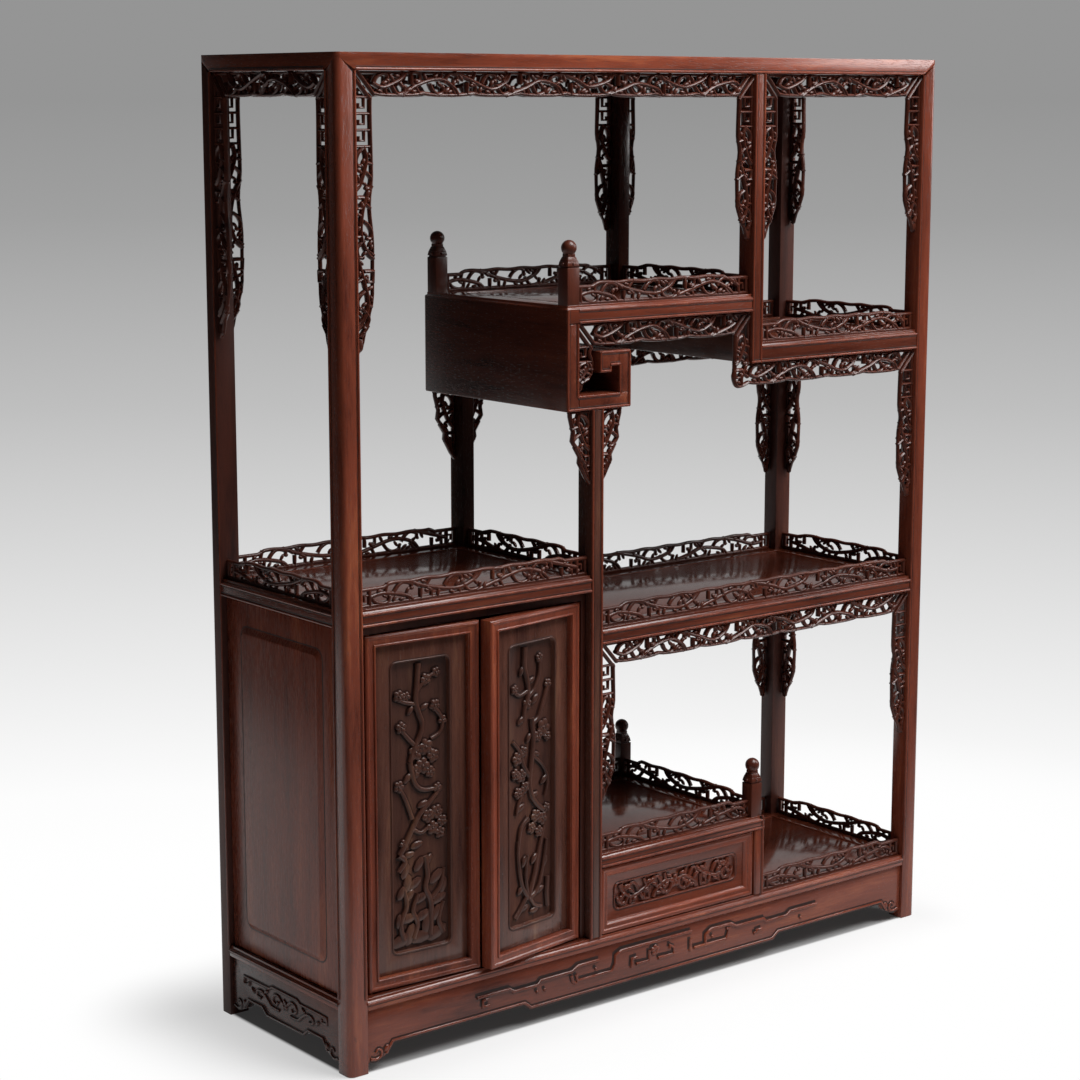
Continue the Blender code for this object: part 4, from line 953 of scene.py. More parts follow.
class CABINET_OT_shelves(bpy.types.Operator):
    """Shelf frames with carved galleries and turned finials"""

    bl_idname = "cabinet.shelves"
    bl_label = "Shelves and galleries"

    def execute(self, context):
        front, back = FRONT + GALLERY_SET, BACK - GALLERY_SET
        left, right = LEFT + GALLERY_SET, RIGHT - GALLERY_SET
        centre, upper = (CENTRE_LEFT + CENTRE_RIGHT) / 2, (UPPER_LEFT + UPPER_RIGHT) / 2
        slim_front, slim_back = FRONT + CENTRE_DEPTH, BACK - CENTRE_DEPTH
        step_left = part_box("scroll_side_board")[0][0] + FINIAL_CENTRE
        drawer_right = DRAWER_RIGHT - FINIAL_CENTRE
        runs = {
            "upper_shelf": ((UPPER_RIGHT, INNER_RIGHT), ((right, INNER_FRONT, INNER_BACK),)),
            "step_shelf": ((step_left, UPPER_LEFT), ((upper, slim_front, slim_back),)),
            "cupboard_top": ((INNER_LEFT, CENTRE_LEFT),
                             ((left, INNER_FRONT, INNER_BACK), (centre, slim_front, slim_back))),
            "middle_shelf": ((CENTRE_RIGHT, INNER_RIGHT), ((right, INNER_FRONT, INNER_BACK),)),
            "drawer_top": ((CENTRE_RIGHT, drawer_right), ((drawer_right, front, back),)),
            "base": ((DRAWER_RIGHT, INNER_RIGHT), ((right, INNER_FRONT, INNER_BACK),)),
        }
        finials = {"step_shelf": step_left, "drawer_top": drawer_right}
        for name, (long, sides) in runs.items():
            node = f"{name}_frame"
            level = LEVELS[name]
            self.rails(name, node)
            drawings = [(self.gallery(*long, level), front_plane(y)) for y in (front, back)]
            drawings += [(self.gallery(near, far, level), side_plane(x)) for x, near, far in sides]
            carved(f"{name}_gallery", drawings, GALLERY_THICK, "carcass", (node,))
            if name in finials:
                self.finials(name, node, finials[name], level)
        return {"FINISHED"}

    def gallery(self, near, far, level):
        """A gallery between two posts, standing on a shelf."""
        start, end = near + GALLERY_END, far - GALLERY_END
        return gallery_drawing(end - start).moved(lambda s, v: (start + s, level + v))

    def rails(self, name, node):
        """The frame alone, cut off at its top, where the gallery stands."""
        bm = merged_copy(node)
        keep_side(bm, (0, 0, LEVELS[name] - RAIL_SHAVE), (0, 0, 1))
        soften(bm, FINE_EDGE)
        grain_by_side(bm, *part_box(node), (0, 1))
        for face in bm.faces:
            if face.normal.z > 0.9 and face.calc_center_median().z > LEVELS[name] - PANEL_DROP:
                face.material_index += 2
        tone = RAIL_TONES.get(name, 1.0)
        woods = [frame_wood("x", tone), frame_wood("y", tone), shelf_wood("x"), shelf_wood("y")]
        piece(f"{name}_rails", bm, woods, "carcass", (node,))

    def finials(self, name, node, x, level):
        """Square newels with a notched shoulder, a neck and a ball."""
        bm = bmesh.new()
        for y in (FRONT + FINIAL_CENTRE, BACK - FINIAL_CENTRE):
            self.finial(bm, Vector((x, y, level)))
        piece(f"{name}_finials", bm, [carved_wood("z")], "carcass", (node,), 40)

    def finial(self, bm, foot):
        for low, high, width, top in FINIAL_BLOCKS:
            half = Vector((width / 2, width / 2, 0))
            verts = block(bm, foot - half + Vector((0, 0, low)), foot + half + Vector((0, 0, high)))
            head = [v for v in verts if v.co.z > foot.z + (low + high) / 2]
            taper = top / width
            bmesh.ops.scale(bm, vec=(taper, taper, 1), verts=head, space=Matrix.Translation(-foot))
            edges = {e for v in verts for e in v.link_edges}
            bevel(bm, list(edges), FINIAL_EDGE, 2)
        for turn in range(4):
            out = Matrix.Rotation(turn * math.pi / 2, 4, "Z") @ Vector((PIP_OUT, 0, PIP_LEVEL))
            pip = Matrix.Translation(foot + out)
            bmesh.ops.create_uvsphere(bm, u_segments=8, v_segments=6, radius=PIP_RADIUS, matrix=pip)
        ball = Matrix.Translation(foot + Vector((0, 0, BALL_LEVEL)))
        bmesh.ops.create_uvsphere(bm, u_segments=20, v_segments=14, radius=BALL_RADIUS, matrix=ball)


FRET_THICK = 0.0070
# How far spandrels hang: at the top's left end, elsewhere below the top, lower down, and in the scroll box
LONG_DROP, UPPER_DROP, DROP, BOX_DROP = 0.254, 0.166, 0.162, 0.062
# Brackets under the scroll box, with shares of the width and the height along their edge
BRACKET_WIDTH, BRACKET_HEIGHT, BRACKET_BAY = 0.026, 0.073, 0.0195
BRACKET_EDGE = ((1, 0.02), (1, 0.07), (0.84, 0.28), (0.90, 0.40), (0.52, 0.58), (0.56, 0.70), (0.24, 0.90),
                (0.04, 0.99))


class CABINET_OT_fretwork(bpy.types.Operator):
    """Pierced aprons, hanging spandrels and brackets, carved with a running vine"""

    bl_idname = "cabinet.fretwork"
    bl_label = "Fretwork"

    def execute(self, context):
        middle_under = UNDERS["middle_shelf"] - GAP
        upper_under = UNDERS["upper_shelf"] - GAP
        step_under = UNDERS["step_shelf"] - GAP
        top = TOP_BOTTOM - GAP
        box_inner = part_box("scroll_side_board")[1][0] + GAP
        for end in ("front", "rear"):
            low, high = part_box(f"fret_{end}_left")
            plane = front_plane((low[1] + high[1]) / 2)
            aprons = {
                "left": hung_apron(INNER_LEFT, UPPER_LEFT, top, LONG_DROP, UPPER_DROP),
                "right": hung_apron(UPPER_RIGHT, INNER_RIGHT, top, UPPER_DROP, UPPER_DROP),
                "step": step_apron(box_inner, UPPER_LEFT - GAP, INNER_RIGHT, step_under, upper_under,
                                   BOX_DROP, DROP),
                "lower": hung_apron(CENTRE_RIGHT, INNER_RIGHT, middle_under, DROP, DROP),
            }
            for place, drawing in aprons.items():
                self.cut(f"fret_{end}_{place}", drawing, plane)
            self.brackets(f"centre_post_{end}", plane)
        near, far = INNER_FRONT, INNER_BACK
        low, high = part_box("fret_side_left")
        left = side_plane((low[0] + high[0]) / 2)
        self.cut("fret_side_left", hung_apron(near, far, top, LONG_DROP, LONG_DROP), left, "y")
        low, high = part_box("fret_side_right_upper")
        right = side_plane((low[0] + high[0]) / 2)
        for place, under, length in (("upper", top, UPPER_DROP), ("middle", upper_under, DROP),
                                     ("lower", middle_under, DROP)):
            self.cut(f"fret_side_right_{place}", hung_apron(near, far, under, length, length), right, "y")
        return {"FINISHED"}

    def cut(self, node, drawing, plane, grain="x"):
        carved(f"{node}_carved", [(drawing, plane)], FRET_THICK, "carcass", (node,), grain)

    def brackets(self, node, plane):
        """The two small brackets beside a centre post."""
        sizes = carving()
        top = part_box(node)[1][2]
        width, height = BRACKET_WIDTH, BRACKET_HEIGHT
        half = Drawing()
        half.stroke([(0, sizes.border), (width, sizes.border)], sizes.border)
        half.stroke([(a * width - sizes.rim, b * height) for a, b in BRACKET_EDGE], sizes.rim)
        half.stroke([(sizes.border, 0), (sizes.border, height * 0.97)], sizes.border)

        def reach(s):
            for (wide, low), (narrow, high) in zip(BRACKET_EDGE, BRACKET_EDGE[1:]):
                if s / height <= high:
                    share = max(0, (s / height - low) / (high - low))
                    return width * (wide + (narrow - wide) * share)
            return width * BRACKET_EDGE[-1][0]

        growth = pierced_vine(0.002, height * 0.84, lambda s: sizes.border,
                              lambda s: max(reach(s) - sizes.border, LEAST_ROOM), BRACKET_BAY)
        half.add(growth.moved(lambda s, v: (v, s)))
        whole = Drawing()
        whole.add(half.moved(lambda a, d: (CENTRE_RIGHT + a, top - d)))
        whole.add(half.moved(lambda a, d: (CENTRE_LEFT - a, top - d)))
        carved(f"{node}_brackets", [(whole, plane)], FRET_THICK, "carcass", (node,))


def plum_drawing(width, height):
    """A plum branch over rocks, on a tablet of that size, drawn from its lower left corner."""
    stems = (
        (((0.495, 0.995), (0.47, 0.93), (0.44, 0.865), (0.50, 0.82), (0.56, 0.78), (0.50, 0.735),
          (0.40, 0.70), (0.33, 0.655)), 2.5, 2.2),
        (((0.33, 0.655), (0.38, 0.60), (0.46, 0.565), (0.62, 0.548), (0.88, 0.55)), 2.2, 1.6),
        (((0.07, 0.885), (0.25, 0.865), (0.44, 0.855)), 1.3, 1.8),
        (((0.46, 0.895), (0.60, 0.93), (0.80, 0.955)), 1.8, 1.3),
        (((0.78, 0.835), (0.93, 0.79), (0.90, 0.745), (0.72, 0.725)), 1.8, 1.6),
        (((0.16, 0.775), (0.27, 0.745), (0.40, 0.715)), 1.4, 1.8),
        (((0.90, 0.545), (0.70, 0.505), (0.50, 0.465), (0.36, 0.42), (0.24, 0.375), (0.12, 0.335)), 1.8, 2.5),
        (((0.13, 0.57), (0.24, 0.525), (0.36, 0.455)), 1.4, 2.0),
        (((0.36, 0.42), (0.52, 0.40), (0.66, 0.415)), 1.6, 1.4),
        (((0.60, 0.315), (0.64, 0.25), (0.60, 0.20), (0.70, 0.14), (0.68, 0.03)), 2.2, 2.5),
        (((0.95, 0.26), (0.88, 0.20), (0.72, 0.16)), 1.4, 2.2),
        (((0.10, 0.335), (0.22, 0.31), (0.10, 0.275)), 2.4, 2.0),
        (((0.18, 0.03), (0.13, 0.09), (0.24, 0.15), (0.20, 0.21)), 2.5, 1.8),
        (((0.36, 0.03), (0.44, 0.08), (0.36, 0.13), (0.46, 0.185)), 2.5, 1.8),
        (((0.92, 0.03), (0.84, 0.08), (0.93, 0.14)), 2.5, 1.8))
    blooms = (
        (0.44, 0.685, 8), (0.62, 0.70, 8), (0.76, 0.665, 7), (0.56, 0.635, 8), (0.42, 0.62, 7),
        (0.70, 0.61, 6), (0.13, 0.89, 6), (0.26, 0.885, 5), (0.63, 0.935, 6), (0.82, 0.955, 5),
        (0.80, 0.84, 6), (0.94, 0.785, 5), (0.17, 0.78, 6), (0.12, 0.575, 6), (0.66, 0.455, 7),
        (0.82, 0.465, 7), (0.92, 0.43, 6), (0.74, 0.41, 7), (0.88, 0.39, 6), (0.20, 0.37, 5),
        (0.84, 0.55, 5))
    leaves = (
        (0.22, 0.275, 8, 1.2), (0.26, 0.23, 9, 1.4), (0.16, 0.20, 8, 0.9), (0.40, 0.225, 8, 0.6),
        (0.48, 0.29, 8, 0.9), (0.80, 0.235, 9, 0.7), (0.93, 0.20, 8, 1.3), (0.84, 0.155, 9, 0.4),
        (0.52, 0.17, 8, 0.5), (0.30, 0.185, 7, 0.9), (0.10, 0.10, 7, 1.4), (0.66, 0.30, 6, 1.0),
        (0.34, 0.835, 5, 0.9), (0.60, 0.84, 5, 0.5), (0.28, 0.60, 6, 0.8), (0.56, 0.50, 6, 0.4),
        (0.44, 0.36, 7, 0.3), (0.30, 0.33, 6, 0.2), (0.14, 0.03, 12, 0.3), (0.30, 0.045, 11, 1.2),
        (0.50, 0.03, 12, 0.1), (0.62, 0.07, 11, 1.4), (0.80, 0.035, 12, 0.5), (0.54, 0.105, 9, 0.4),
        (0.28, 0.105, 9, 0.2), (0.80, 0.105, 9, 1.0))
    return branch_drawing(width, height, stems, blooms, leaves)


def orchid_drawing(width, height):
    """A plum twig over orchid leaves, on a tablet of that size."""
    stems = (
        (((0.38, 0.995), (0.36, 0.93), (0.43, 0.88), (0.46, 0.83), (0.38, 0.775), (0.34, 0.73)), 2.6, 1.8),
        (((0.12, 0.845), (0.26, 0.825), (0.44, 0.835)), 1.3, 1.8),
        (((0.74, 0.945), (0.72, 0.885), (0.60, 0.835), (0.46, 0.815)), 1.6, 2.0),
        (((0.93, 0.84), (0.80, 0.775), (0.70, 0.73), (0.56, 0.715)), 2.0, 2.2),
        (((0.54, 0.735), (0.58, 0.655), (0.53, 0.57), (0.49, 0.51), (0.54, 0.455), (0.68, 0.415),
          (0.82, 0.39)), 2.5, 2.2),
        (((0.10, 0.665), (0.26, 0.625), (0.34, 0.575), (0.50, 0.52)), 1.4, 2.2),
        (((0.56, 0.60), (0.80, 0.555), (0.92, 0.50), (0.86, 0.44)), 1.5, 1.3),
        (((0.49, 0.51), (0.34, 0.475), (0.22, 0.43), (0.18, 0.395)), 1.8, 1.3),
        (((0.46, 0.08), (0.30, 0.14), (0.22, 0.24), (0.22, 0.30)), 2.3, 1.3),
        (((0.22, 0.26), (0.28, 0.34), (0.46, 0.375)), 1.4, 2.0),
        (((0.46, 0.08), (0.40, 0.17), (0.44, 0.24)), 2.0, 1.3),
        (((0.46, 0.08), (0.60, 0.16), (0.70, 0.24), (0.84, 0.33)), 2.6, 1.3),
        (((0.46, 0.08), (0.66, 0.10), (0.80, 0.17), (0.90, 0.28)), 2.3, 1.3),
        (((0.14, 0.02), (0.28, 0.05), (0.46, 0.10)), 2.2, 1.8),
        (((0.46, 0.10), (0.60, 0.05), (0.78, 0.035)), 2.0, 1.4),
        (((0.92, 0.14), (0.90, 0.08), (0.92, 0.03)), 2.2, 2.2))
    blooms = (
        (0.82, 0.69, 9), (0.70, 0.665, 6), (0.92, 0.655, 5), (0.20, 0.60, 7), (0.34, 0.62, 6),
        (0.16, 0.545, 6), (0.30, 0.535, 7), (0.38, 0.49, 6), (0.22, 0.475, 6), (0.64, 0.375, 7),
        (0.80, 0.36, 7), (0.54, 0.335, 6), (0.72, 0.315, 6), (0.90, 0.395, 5), (0.14, 0.85, 5),
        (0.44, 0.79, 6), (0.73, 0.945, 5), (0.93, 0.845, 5))
    leaves = (
        (0.30, 0.91, 5, 1.1), (0.54, 0.87, 5, 0.5), (0.62, 0.80, 6, 0.8), (0.30, 0.735, 6, 0.6),
        (0.47, 0.665, 5, 1.0), (0.66, 0.60, 5, -0.4), (0.84, 0.50, 6, 0.7), (0.62, 0.455, 5, 0.2),
        (0.28, 0.42, 6, 0.5), (0.36, 0.22, 6, 1.2), (0.60, 0.22, 6, 0.9), (0.28, 0.12, 6, 0.8),
        (0.74, 0.10, 6, 0.4), (0.36, 0.05, 6, 0.2), (0.60, 0.03, 6, 0.1), (0.86, 0.20, 6, 1.3))
    return branch_drawing(width, height, stems, blooms, leaves)


# Real sizes for one unit of the drawings: a stem's half width, a bloom, and a leaf's length and width
STEM_UNIT, BLOOM_UNIT = 0.00125, 0.00105
LEAF_UNIT = 0.0011, 0.00055


def branch_drawing(width, height, stems, blooms, leaves):
    """Branches, blossoms and leaves, with places as shares of the tablet."""
    drawing = Drawing()
    for points, start, end in stems:
        path = smooth_path([(a * width, b * height) for a, b in points])
        drawing.stroke(path, start * STEM_UNIT, end * STEM_UNIT)
    for a, b, size in blooms:
        blossom(drawing, a * width, b * height, size * BLOOM_UNIT, a * 9)
    for a, b, size, turn in leaves:
        drawing.leaf(a * width, b * height, size * LEAF_UNIT[0], size * LEAF_UNIT[1], turn)
    return drawing


SHADE_HALO_DEPTH, SHADE_HALO_LEAF = 0.10, 0.0003
RELIEF_LEAF = 0.0019


def shade_halo(name, drawing, plane, body, extra=0.0011):
    """Painted shade in the ground round a relief: its drawing again, wider and nearly flat, in dark wood."""
    bm = bmesh.new()
    drawing.wider(extra).carve(bm, plane, SHADE_HALO_DEPTH, leaf_depth=SHADE_HALO_LEAF)
    piece(name, bm, [quirk_shade_wood("x")], body, (), 60)


def relief(name, drawings, body, height, wood):
    """Relief on a face, from drawings with their planes: the lower part of each is sunk in the wood."""
    bm = bmesh.new()
    for drawing, plane in drawings:
        drawing.carve(bm, plane, height, leaf_depth=RELIEF_LEAF * height)
    piece(name, bm, [wood], body, (), 60)


def tablet_quirk_shade(name, tablet, line, plane, body, grain):
    """Painted shade of a groove round a tablet: a dark strip nearly sunk in the field. The line gives its place
    outside, corner radius and half width.
    """
    out, corner, half = line
    groove = Drawing()
    groove.stroke(rounded_line(tablet, -out, corner), half)
    bm = bmesh.new()
    groove.carve(bm, plane, 1)
    piece(f"{name}_quirk", bm, [quirk_shade_wood(grain)], body, (), 60)


# Sizes of the door panels, in the doors' own frames
TABLET_EDGE, TABLET_SUNK, TABLET_MARGIN = 0.0004, 0.0046, 0.0190
TABLET_CORNER, TABLET_STEPS = 0.0058, 5
TABLET_ROOM, RELIEF_SINK = 0.0022, 0.0013
DOOR_FIELD, DOOR_CHAMFER, CHAMFER_LIFT = 0.0020, -0.0004, 0.0022
DOOR_SWING, DOOR_LIP, PIVOT_REACH = 0.1239, 0.0035, 0.0061
# Bead and quirk round a tablet: how far outside it, corner radius and half width
TABLET_BEAD = 0.0009, 0.0065, 0.0009
TABLET_QUIRK = 0.0025, 0.0080, 0.0006
QUIRK_SINK = 0.0005
DOOR_MOULD_INSETS, DOOR_MOULD_RADIUS, DOOR_MOULD_FACE = (0.0024, 0.0102), 0.0013, -0.0030
MITRE_CORNER = 0.0002
DOOR_RELIEF, DOOR_SHADE_HALO = 0.85, 0.0016
DOOR_RAIL_TONE = 1.05
STILE_TONES = {"door_left": 1.05, "door_right": 1.32}


class CABINET_OT_doors(bpy.types.Operator):
    """Two doors with moulded frames and carved tablets"""

    bl_idname = "cabinet.doors"
    bl_label = "Doors"

    def execute(self, context):
        for name, draw in (("door_left", plum_drawing), ("door_right", orchid_drawing)):
            self.leaf(name, draw)
        return {"FINISHED"}

    def leaf(self, name, draw):
        """One door in its own frame: the hinge's axis is Z and the door as it stands ajar lies along X."""
        joint = next(j for j in frame["joints"] if j["child"] == name)
        turn = joint["range_deg"][0] * joint["axis"][2]
        low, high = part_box(f"{name}_frame")
        hinge = (Matrix.Translation((joint["pos_m"][0], joint["pos_m"][1], 0))
                 @ Matrix.Rotation(math.radians(-turn), 4, "Z"))
        self.stiles(name, hinge)
        tablet = self.panel(name, hinge)
        border, mould = Drawing(), Drawing()
        out, corner, half = TABLET_BEAD
        border.stroke(rounded_line(tablet, -out, corner), half)
        x0, x1, z0, z1 = tablet
        width, height = x1 - x0 - 2 * TABLET_ROOM, z1 - z0 - 2 * TABLET_ROOM
        growth = draw(width, height).moved(lambda x, y: (x0 + TABLET_ROOM + x, z0 + TABLET_ROOM + y))
        face = hinge @ front_plane(DOOR_FIELD)
        ground = hinge @ front_plane(DOOR_FIELD + TABLET_SUNK)
        sunk = hinge @ front_plane(DOOR_FIELD + TABLET_SUNK - RELIEF_SINK)
        relief(f"{name}_carving", [(border, face), (growth, sunk)], name, DOOR_RELIEF, ground_wood("z"))
        # Painted shade on the ground round the relief
        shade_halo(f"{name}_hollow", growth, ground, name, DOOR_SHADE_HALO)
        tablet_quirk_shade(name, tablet, TABLET_QUIRK, hinge @ front_plane(DOOR_FIELD + QUIRK_SINK), name, "z")
        a0, a1 = (-DOOR_LIP, DOOR_SWING) if name == "door_left" else (-DOOR_SWING, DOOR_LIP)
        outline = a0, a1, low[2] + PIVOT_REACH, high[2] - PIVOT_REACH
        for inset in DOOR_MOULD_INSETS:
            mould.stroke(rounded_line(outline, inset, MITRE_CORNER, 1), DOOR_MOULD_RADIUS)
        bm = bmesh.new()
        mould.carve(bm, hinge @ front_plane(DOOR_MOULD_FACE), 1)
        piece(f"{name}_mouldings", bm, [frame_wood("z", STILE_TONES[name])], name, (), 60)

    def stiles(self, name, hinge):
        """The door's frame, with its inner chamfer raised so that it drops steeply to the panel."""
        node = f"{name}_frame"
        inside = hinge.inverted()
        bm = merged_copy(node)
        chamfer = [v for v in bm.verts if abs((inside @ v.co).y - DOOR_CHAMFER) < 0.0001]
        bmesh.ops.translate(bm, vec=hinge.to_3x3() @ Vector((0, -CHAMFER_LIFT, 0)), verts=chamfer)
        soften(bm, FINE_EDGE)
        grain_by_side(bm, *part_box(node), (2, 0))
        woods = [frame_wood("z", STILE_TONES[name]), frame_wood("x", DOOR_RAIL_TONE)]
        piece(f"{node}_wood", bm, woods, name, (node,))

    def panel(self, name, hinge):
        """A door panel with a sunk tablet. Gives the tablet's bounds in the door's frame."""
        node = f"{name}_panel"
        inside = hinge.inverted()
        points = [inside @ v.co for v in frame["nodes"][node].data.vertices]
        low = Vector((min(q.x for q in points), DOOR_FIELD, min(q.z for q in points)))
        high = Vector(max(q[axis] for q in points) for axis in range(3))
        bm = bmesh.new()
        block(bm, low, high, hinge)
        bm.normal_update()
        front = min(bm.faces, key=lambda f: (inside.to_3x3() @ f.normal).y)
        bmesh.ops.inset_region(bm, faces=[front], thickness=TABLET_MARGIN, use_even_offset=True)
        bevel(bm, front.verts[:], TABLET_CORNER, TABLET_STEPS, "VERTICES")
        middle = hinge @ Vector(((low.x + high.x) / 2, DOOR_FIELD, (low.z + high.z) / 2))
        field = min(bm.faces, key=lambda f: (f.calc_center_median() - middle).length)
        bmesh.ops.inset_region(bm, faces=[field], thickness=TABLET_EDGE, depth=-TABLET_SUNK,
                               use_even_offset=True)
        field.material_index = 1
        soften(bm, THIN_EDGE)
        piece(f"{node}_wood", bm, [panel_wood("z"), ground_wood("z")], name, (node,))
        return (low.x + TABLET_MARGIN, high.x - TABLET_MARGIN, low.z + TABLET_MARGIN,
                high.z - TABLET_MARGIN)


DRAWER_MARGIN = 0.022
DRAWER_FIELD, DRAWER_RAISED, DRAWER_SUNK = 0.005, 0.0025, 0.0026
DRAWER_BEAD = 0.0008, 0.0060, 0.0009
DRAWER_QUIRK = 0.0023, 0.0075, 0.0007
DRAWER_TONE, DRAWER_FIELD_TONE, FOLIAGE_TONE = 1.40, 0.90, 0.80
FOLIAGE_ROOM, FOLIAGE_BAY, FOLIAGE_LIFT = 0.003, 0.0150, 0.0025
FOLIAGE_SINK, FOLIAGE_RELIEF, FOLIAGE_SHADE_HALO = 0.0006, 0.95, 0.0004
DRAWER_BLOOM = 0.0075


class CABINET_OT_drawer(bpy.types.Operator):
    """The drawer, with scrolling foliage on its tablet"""

    bl_idname = "cabinet.drawer"
    bl_label = "Drawer"

    def execute(self, context):
        for name in ("drawer_side_left", "drawer_side_right"):
            board(name, [inner_wood("y")])
        board("drawer_back", [inner_wood("x")])
        board("drawer_bottom", [inner_wood("x")])
        low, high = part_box("drawer_front")
        margin, field = DRAWER_MARGIN, low[1] + DRAWER_FIELD
        x0, x1, z0, z1 = low[0] + margin, high[0] - margin, low[2] + margin, high[2] - margin
        self.front((x0, x1, z0, z1), field)
        border, growth = Drawing(), Drawing()
        out, corner, half = DRAWER_BEAD
        border.stroke(rounded_line((x0, x1, z0, z1), -out, corner), half)
        reach = (x1 - x0) / 2 - 2 * FOLIAGE_ROOM
        height = z1 - z0 - 2 * FOLIAGE_LIFT
        for way in (1, -1):
            scroll = pierced_vine(FOLIAGE_ROOM, reach, lambda s: 0.0, lambda s: height, FOLIAGE_BAY)
            growth.add(scroll.moved(lambda s, v: ((x0 + x1) / 2 + way * s, z0 + FOLIAGE_LIFT + v)))
        blossom(growth, (x0 + x1) / 2, (z0 + z1) / 2, DRAWER_BLOOM, 0.3)
        sunk = front_plane(field + DRAWER_SUNK - FOLIAGE_SINK)
        relief("drawer_carving", [(border, front_plane(field)), (growth, sunk)], "drawer", FOLIAGE_RELIEF,
               frame_wood("x", FOLIAGE_TONE))
        # Painted shade on the ground round the foliage
        shade_halo("drawer_hollow", growth, front_plane(field + DRAWER_SUNK), "drawer", FOLIAGE_SHADE_HALO)
        tablet_quirk_shade("drawer", (x0, x1, z0, z1), DRAWER_QUIRK, front_plane(field + QUIRK_SINK), "drawer", "x")
        return {"FINISHED"}

    def front(self, tablet, field):
        """The drawer's front, with a sunk tablet in its field."""
        x0, x1, z0, z1 = tablet
        bm = merged_copy("drawer_front")
        top = field - DRAWER_RAISED + FIELD_SKIN
        recut_field(bm, lambda co: x0 < co.x < x1 and z0 < co.z < z1 and co.y < top, TABLET_EDGE,
                    -DRAWER_SUNK)
        soften(bm, FINE_EDGE)
        grain_by_side(bm, *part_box("drawer_front"), (0, 2))
        half = DRAWER_MARGIN / 2
        for face in bm.faces:
            middle = face.calc_center_median()
            if x0 - half < middle.x < x1 + half and z0 - half < middle.z < z1 + half:
                face.material_index = 2
        tones = ("x", DRAWER_TONE), ("z", DRAWER_TONE), ("x", DRAWER_FIELD_TONE)
        woods = [frame_wood(grain, tone) for grain, tone in tones]
        piece("drawer_front_wood", bm, woods, "drawer", ("drawer_front",))


APRON_DROP = 0.0062
SHAPED_BELOW = 0.045
FRONT_STEP, SIDE_STEP = 0.190, 0.056
# The left apron and its relief are darkened as painted shade
APRON_TONES = {"front": 1.0, "rear": 1.0, "left": 0.62, "right": 1.0}
SIDE_RELIEF_TONES = {"left": 0.55, "right": 0.80}
# Levels of the front fret: toe, foot, waist, line, high and crown
FRET_LEVELS = 0.0330, 0.0355, 0.0425, 0.0465, 0.0510, 0.0545
FRET_HALF, FRET_DOT, FRET_BLOOM = 0.0017, 0.0019, 0.0062
# The raised fret beside its dark line of painted shadow: its shift, then extra half widths of fret, line and edge
# line
FRET_SHIFT, FRET_SPREAD, FRET_SHADOW_LINE, EDGE_SHADOW_SPREAD = (0.0020, -0.0027), 0.0002, 0.0005, 0.0011
SIDE_FRET_DROP, SIDE_FRET_HALF, SIDE_BLOOM = 0.0045, 0.0016, 0.0060
# Bead along the lower edge: half width, lift above the edge, and half widths of the curl at a foot
EDGE_HALF, EDGE_RISE, CURL_HALVES = 0.0016, 0.0013, (0.0017, 0.0012)
MILLIMETRE = 0.001


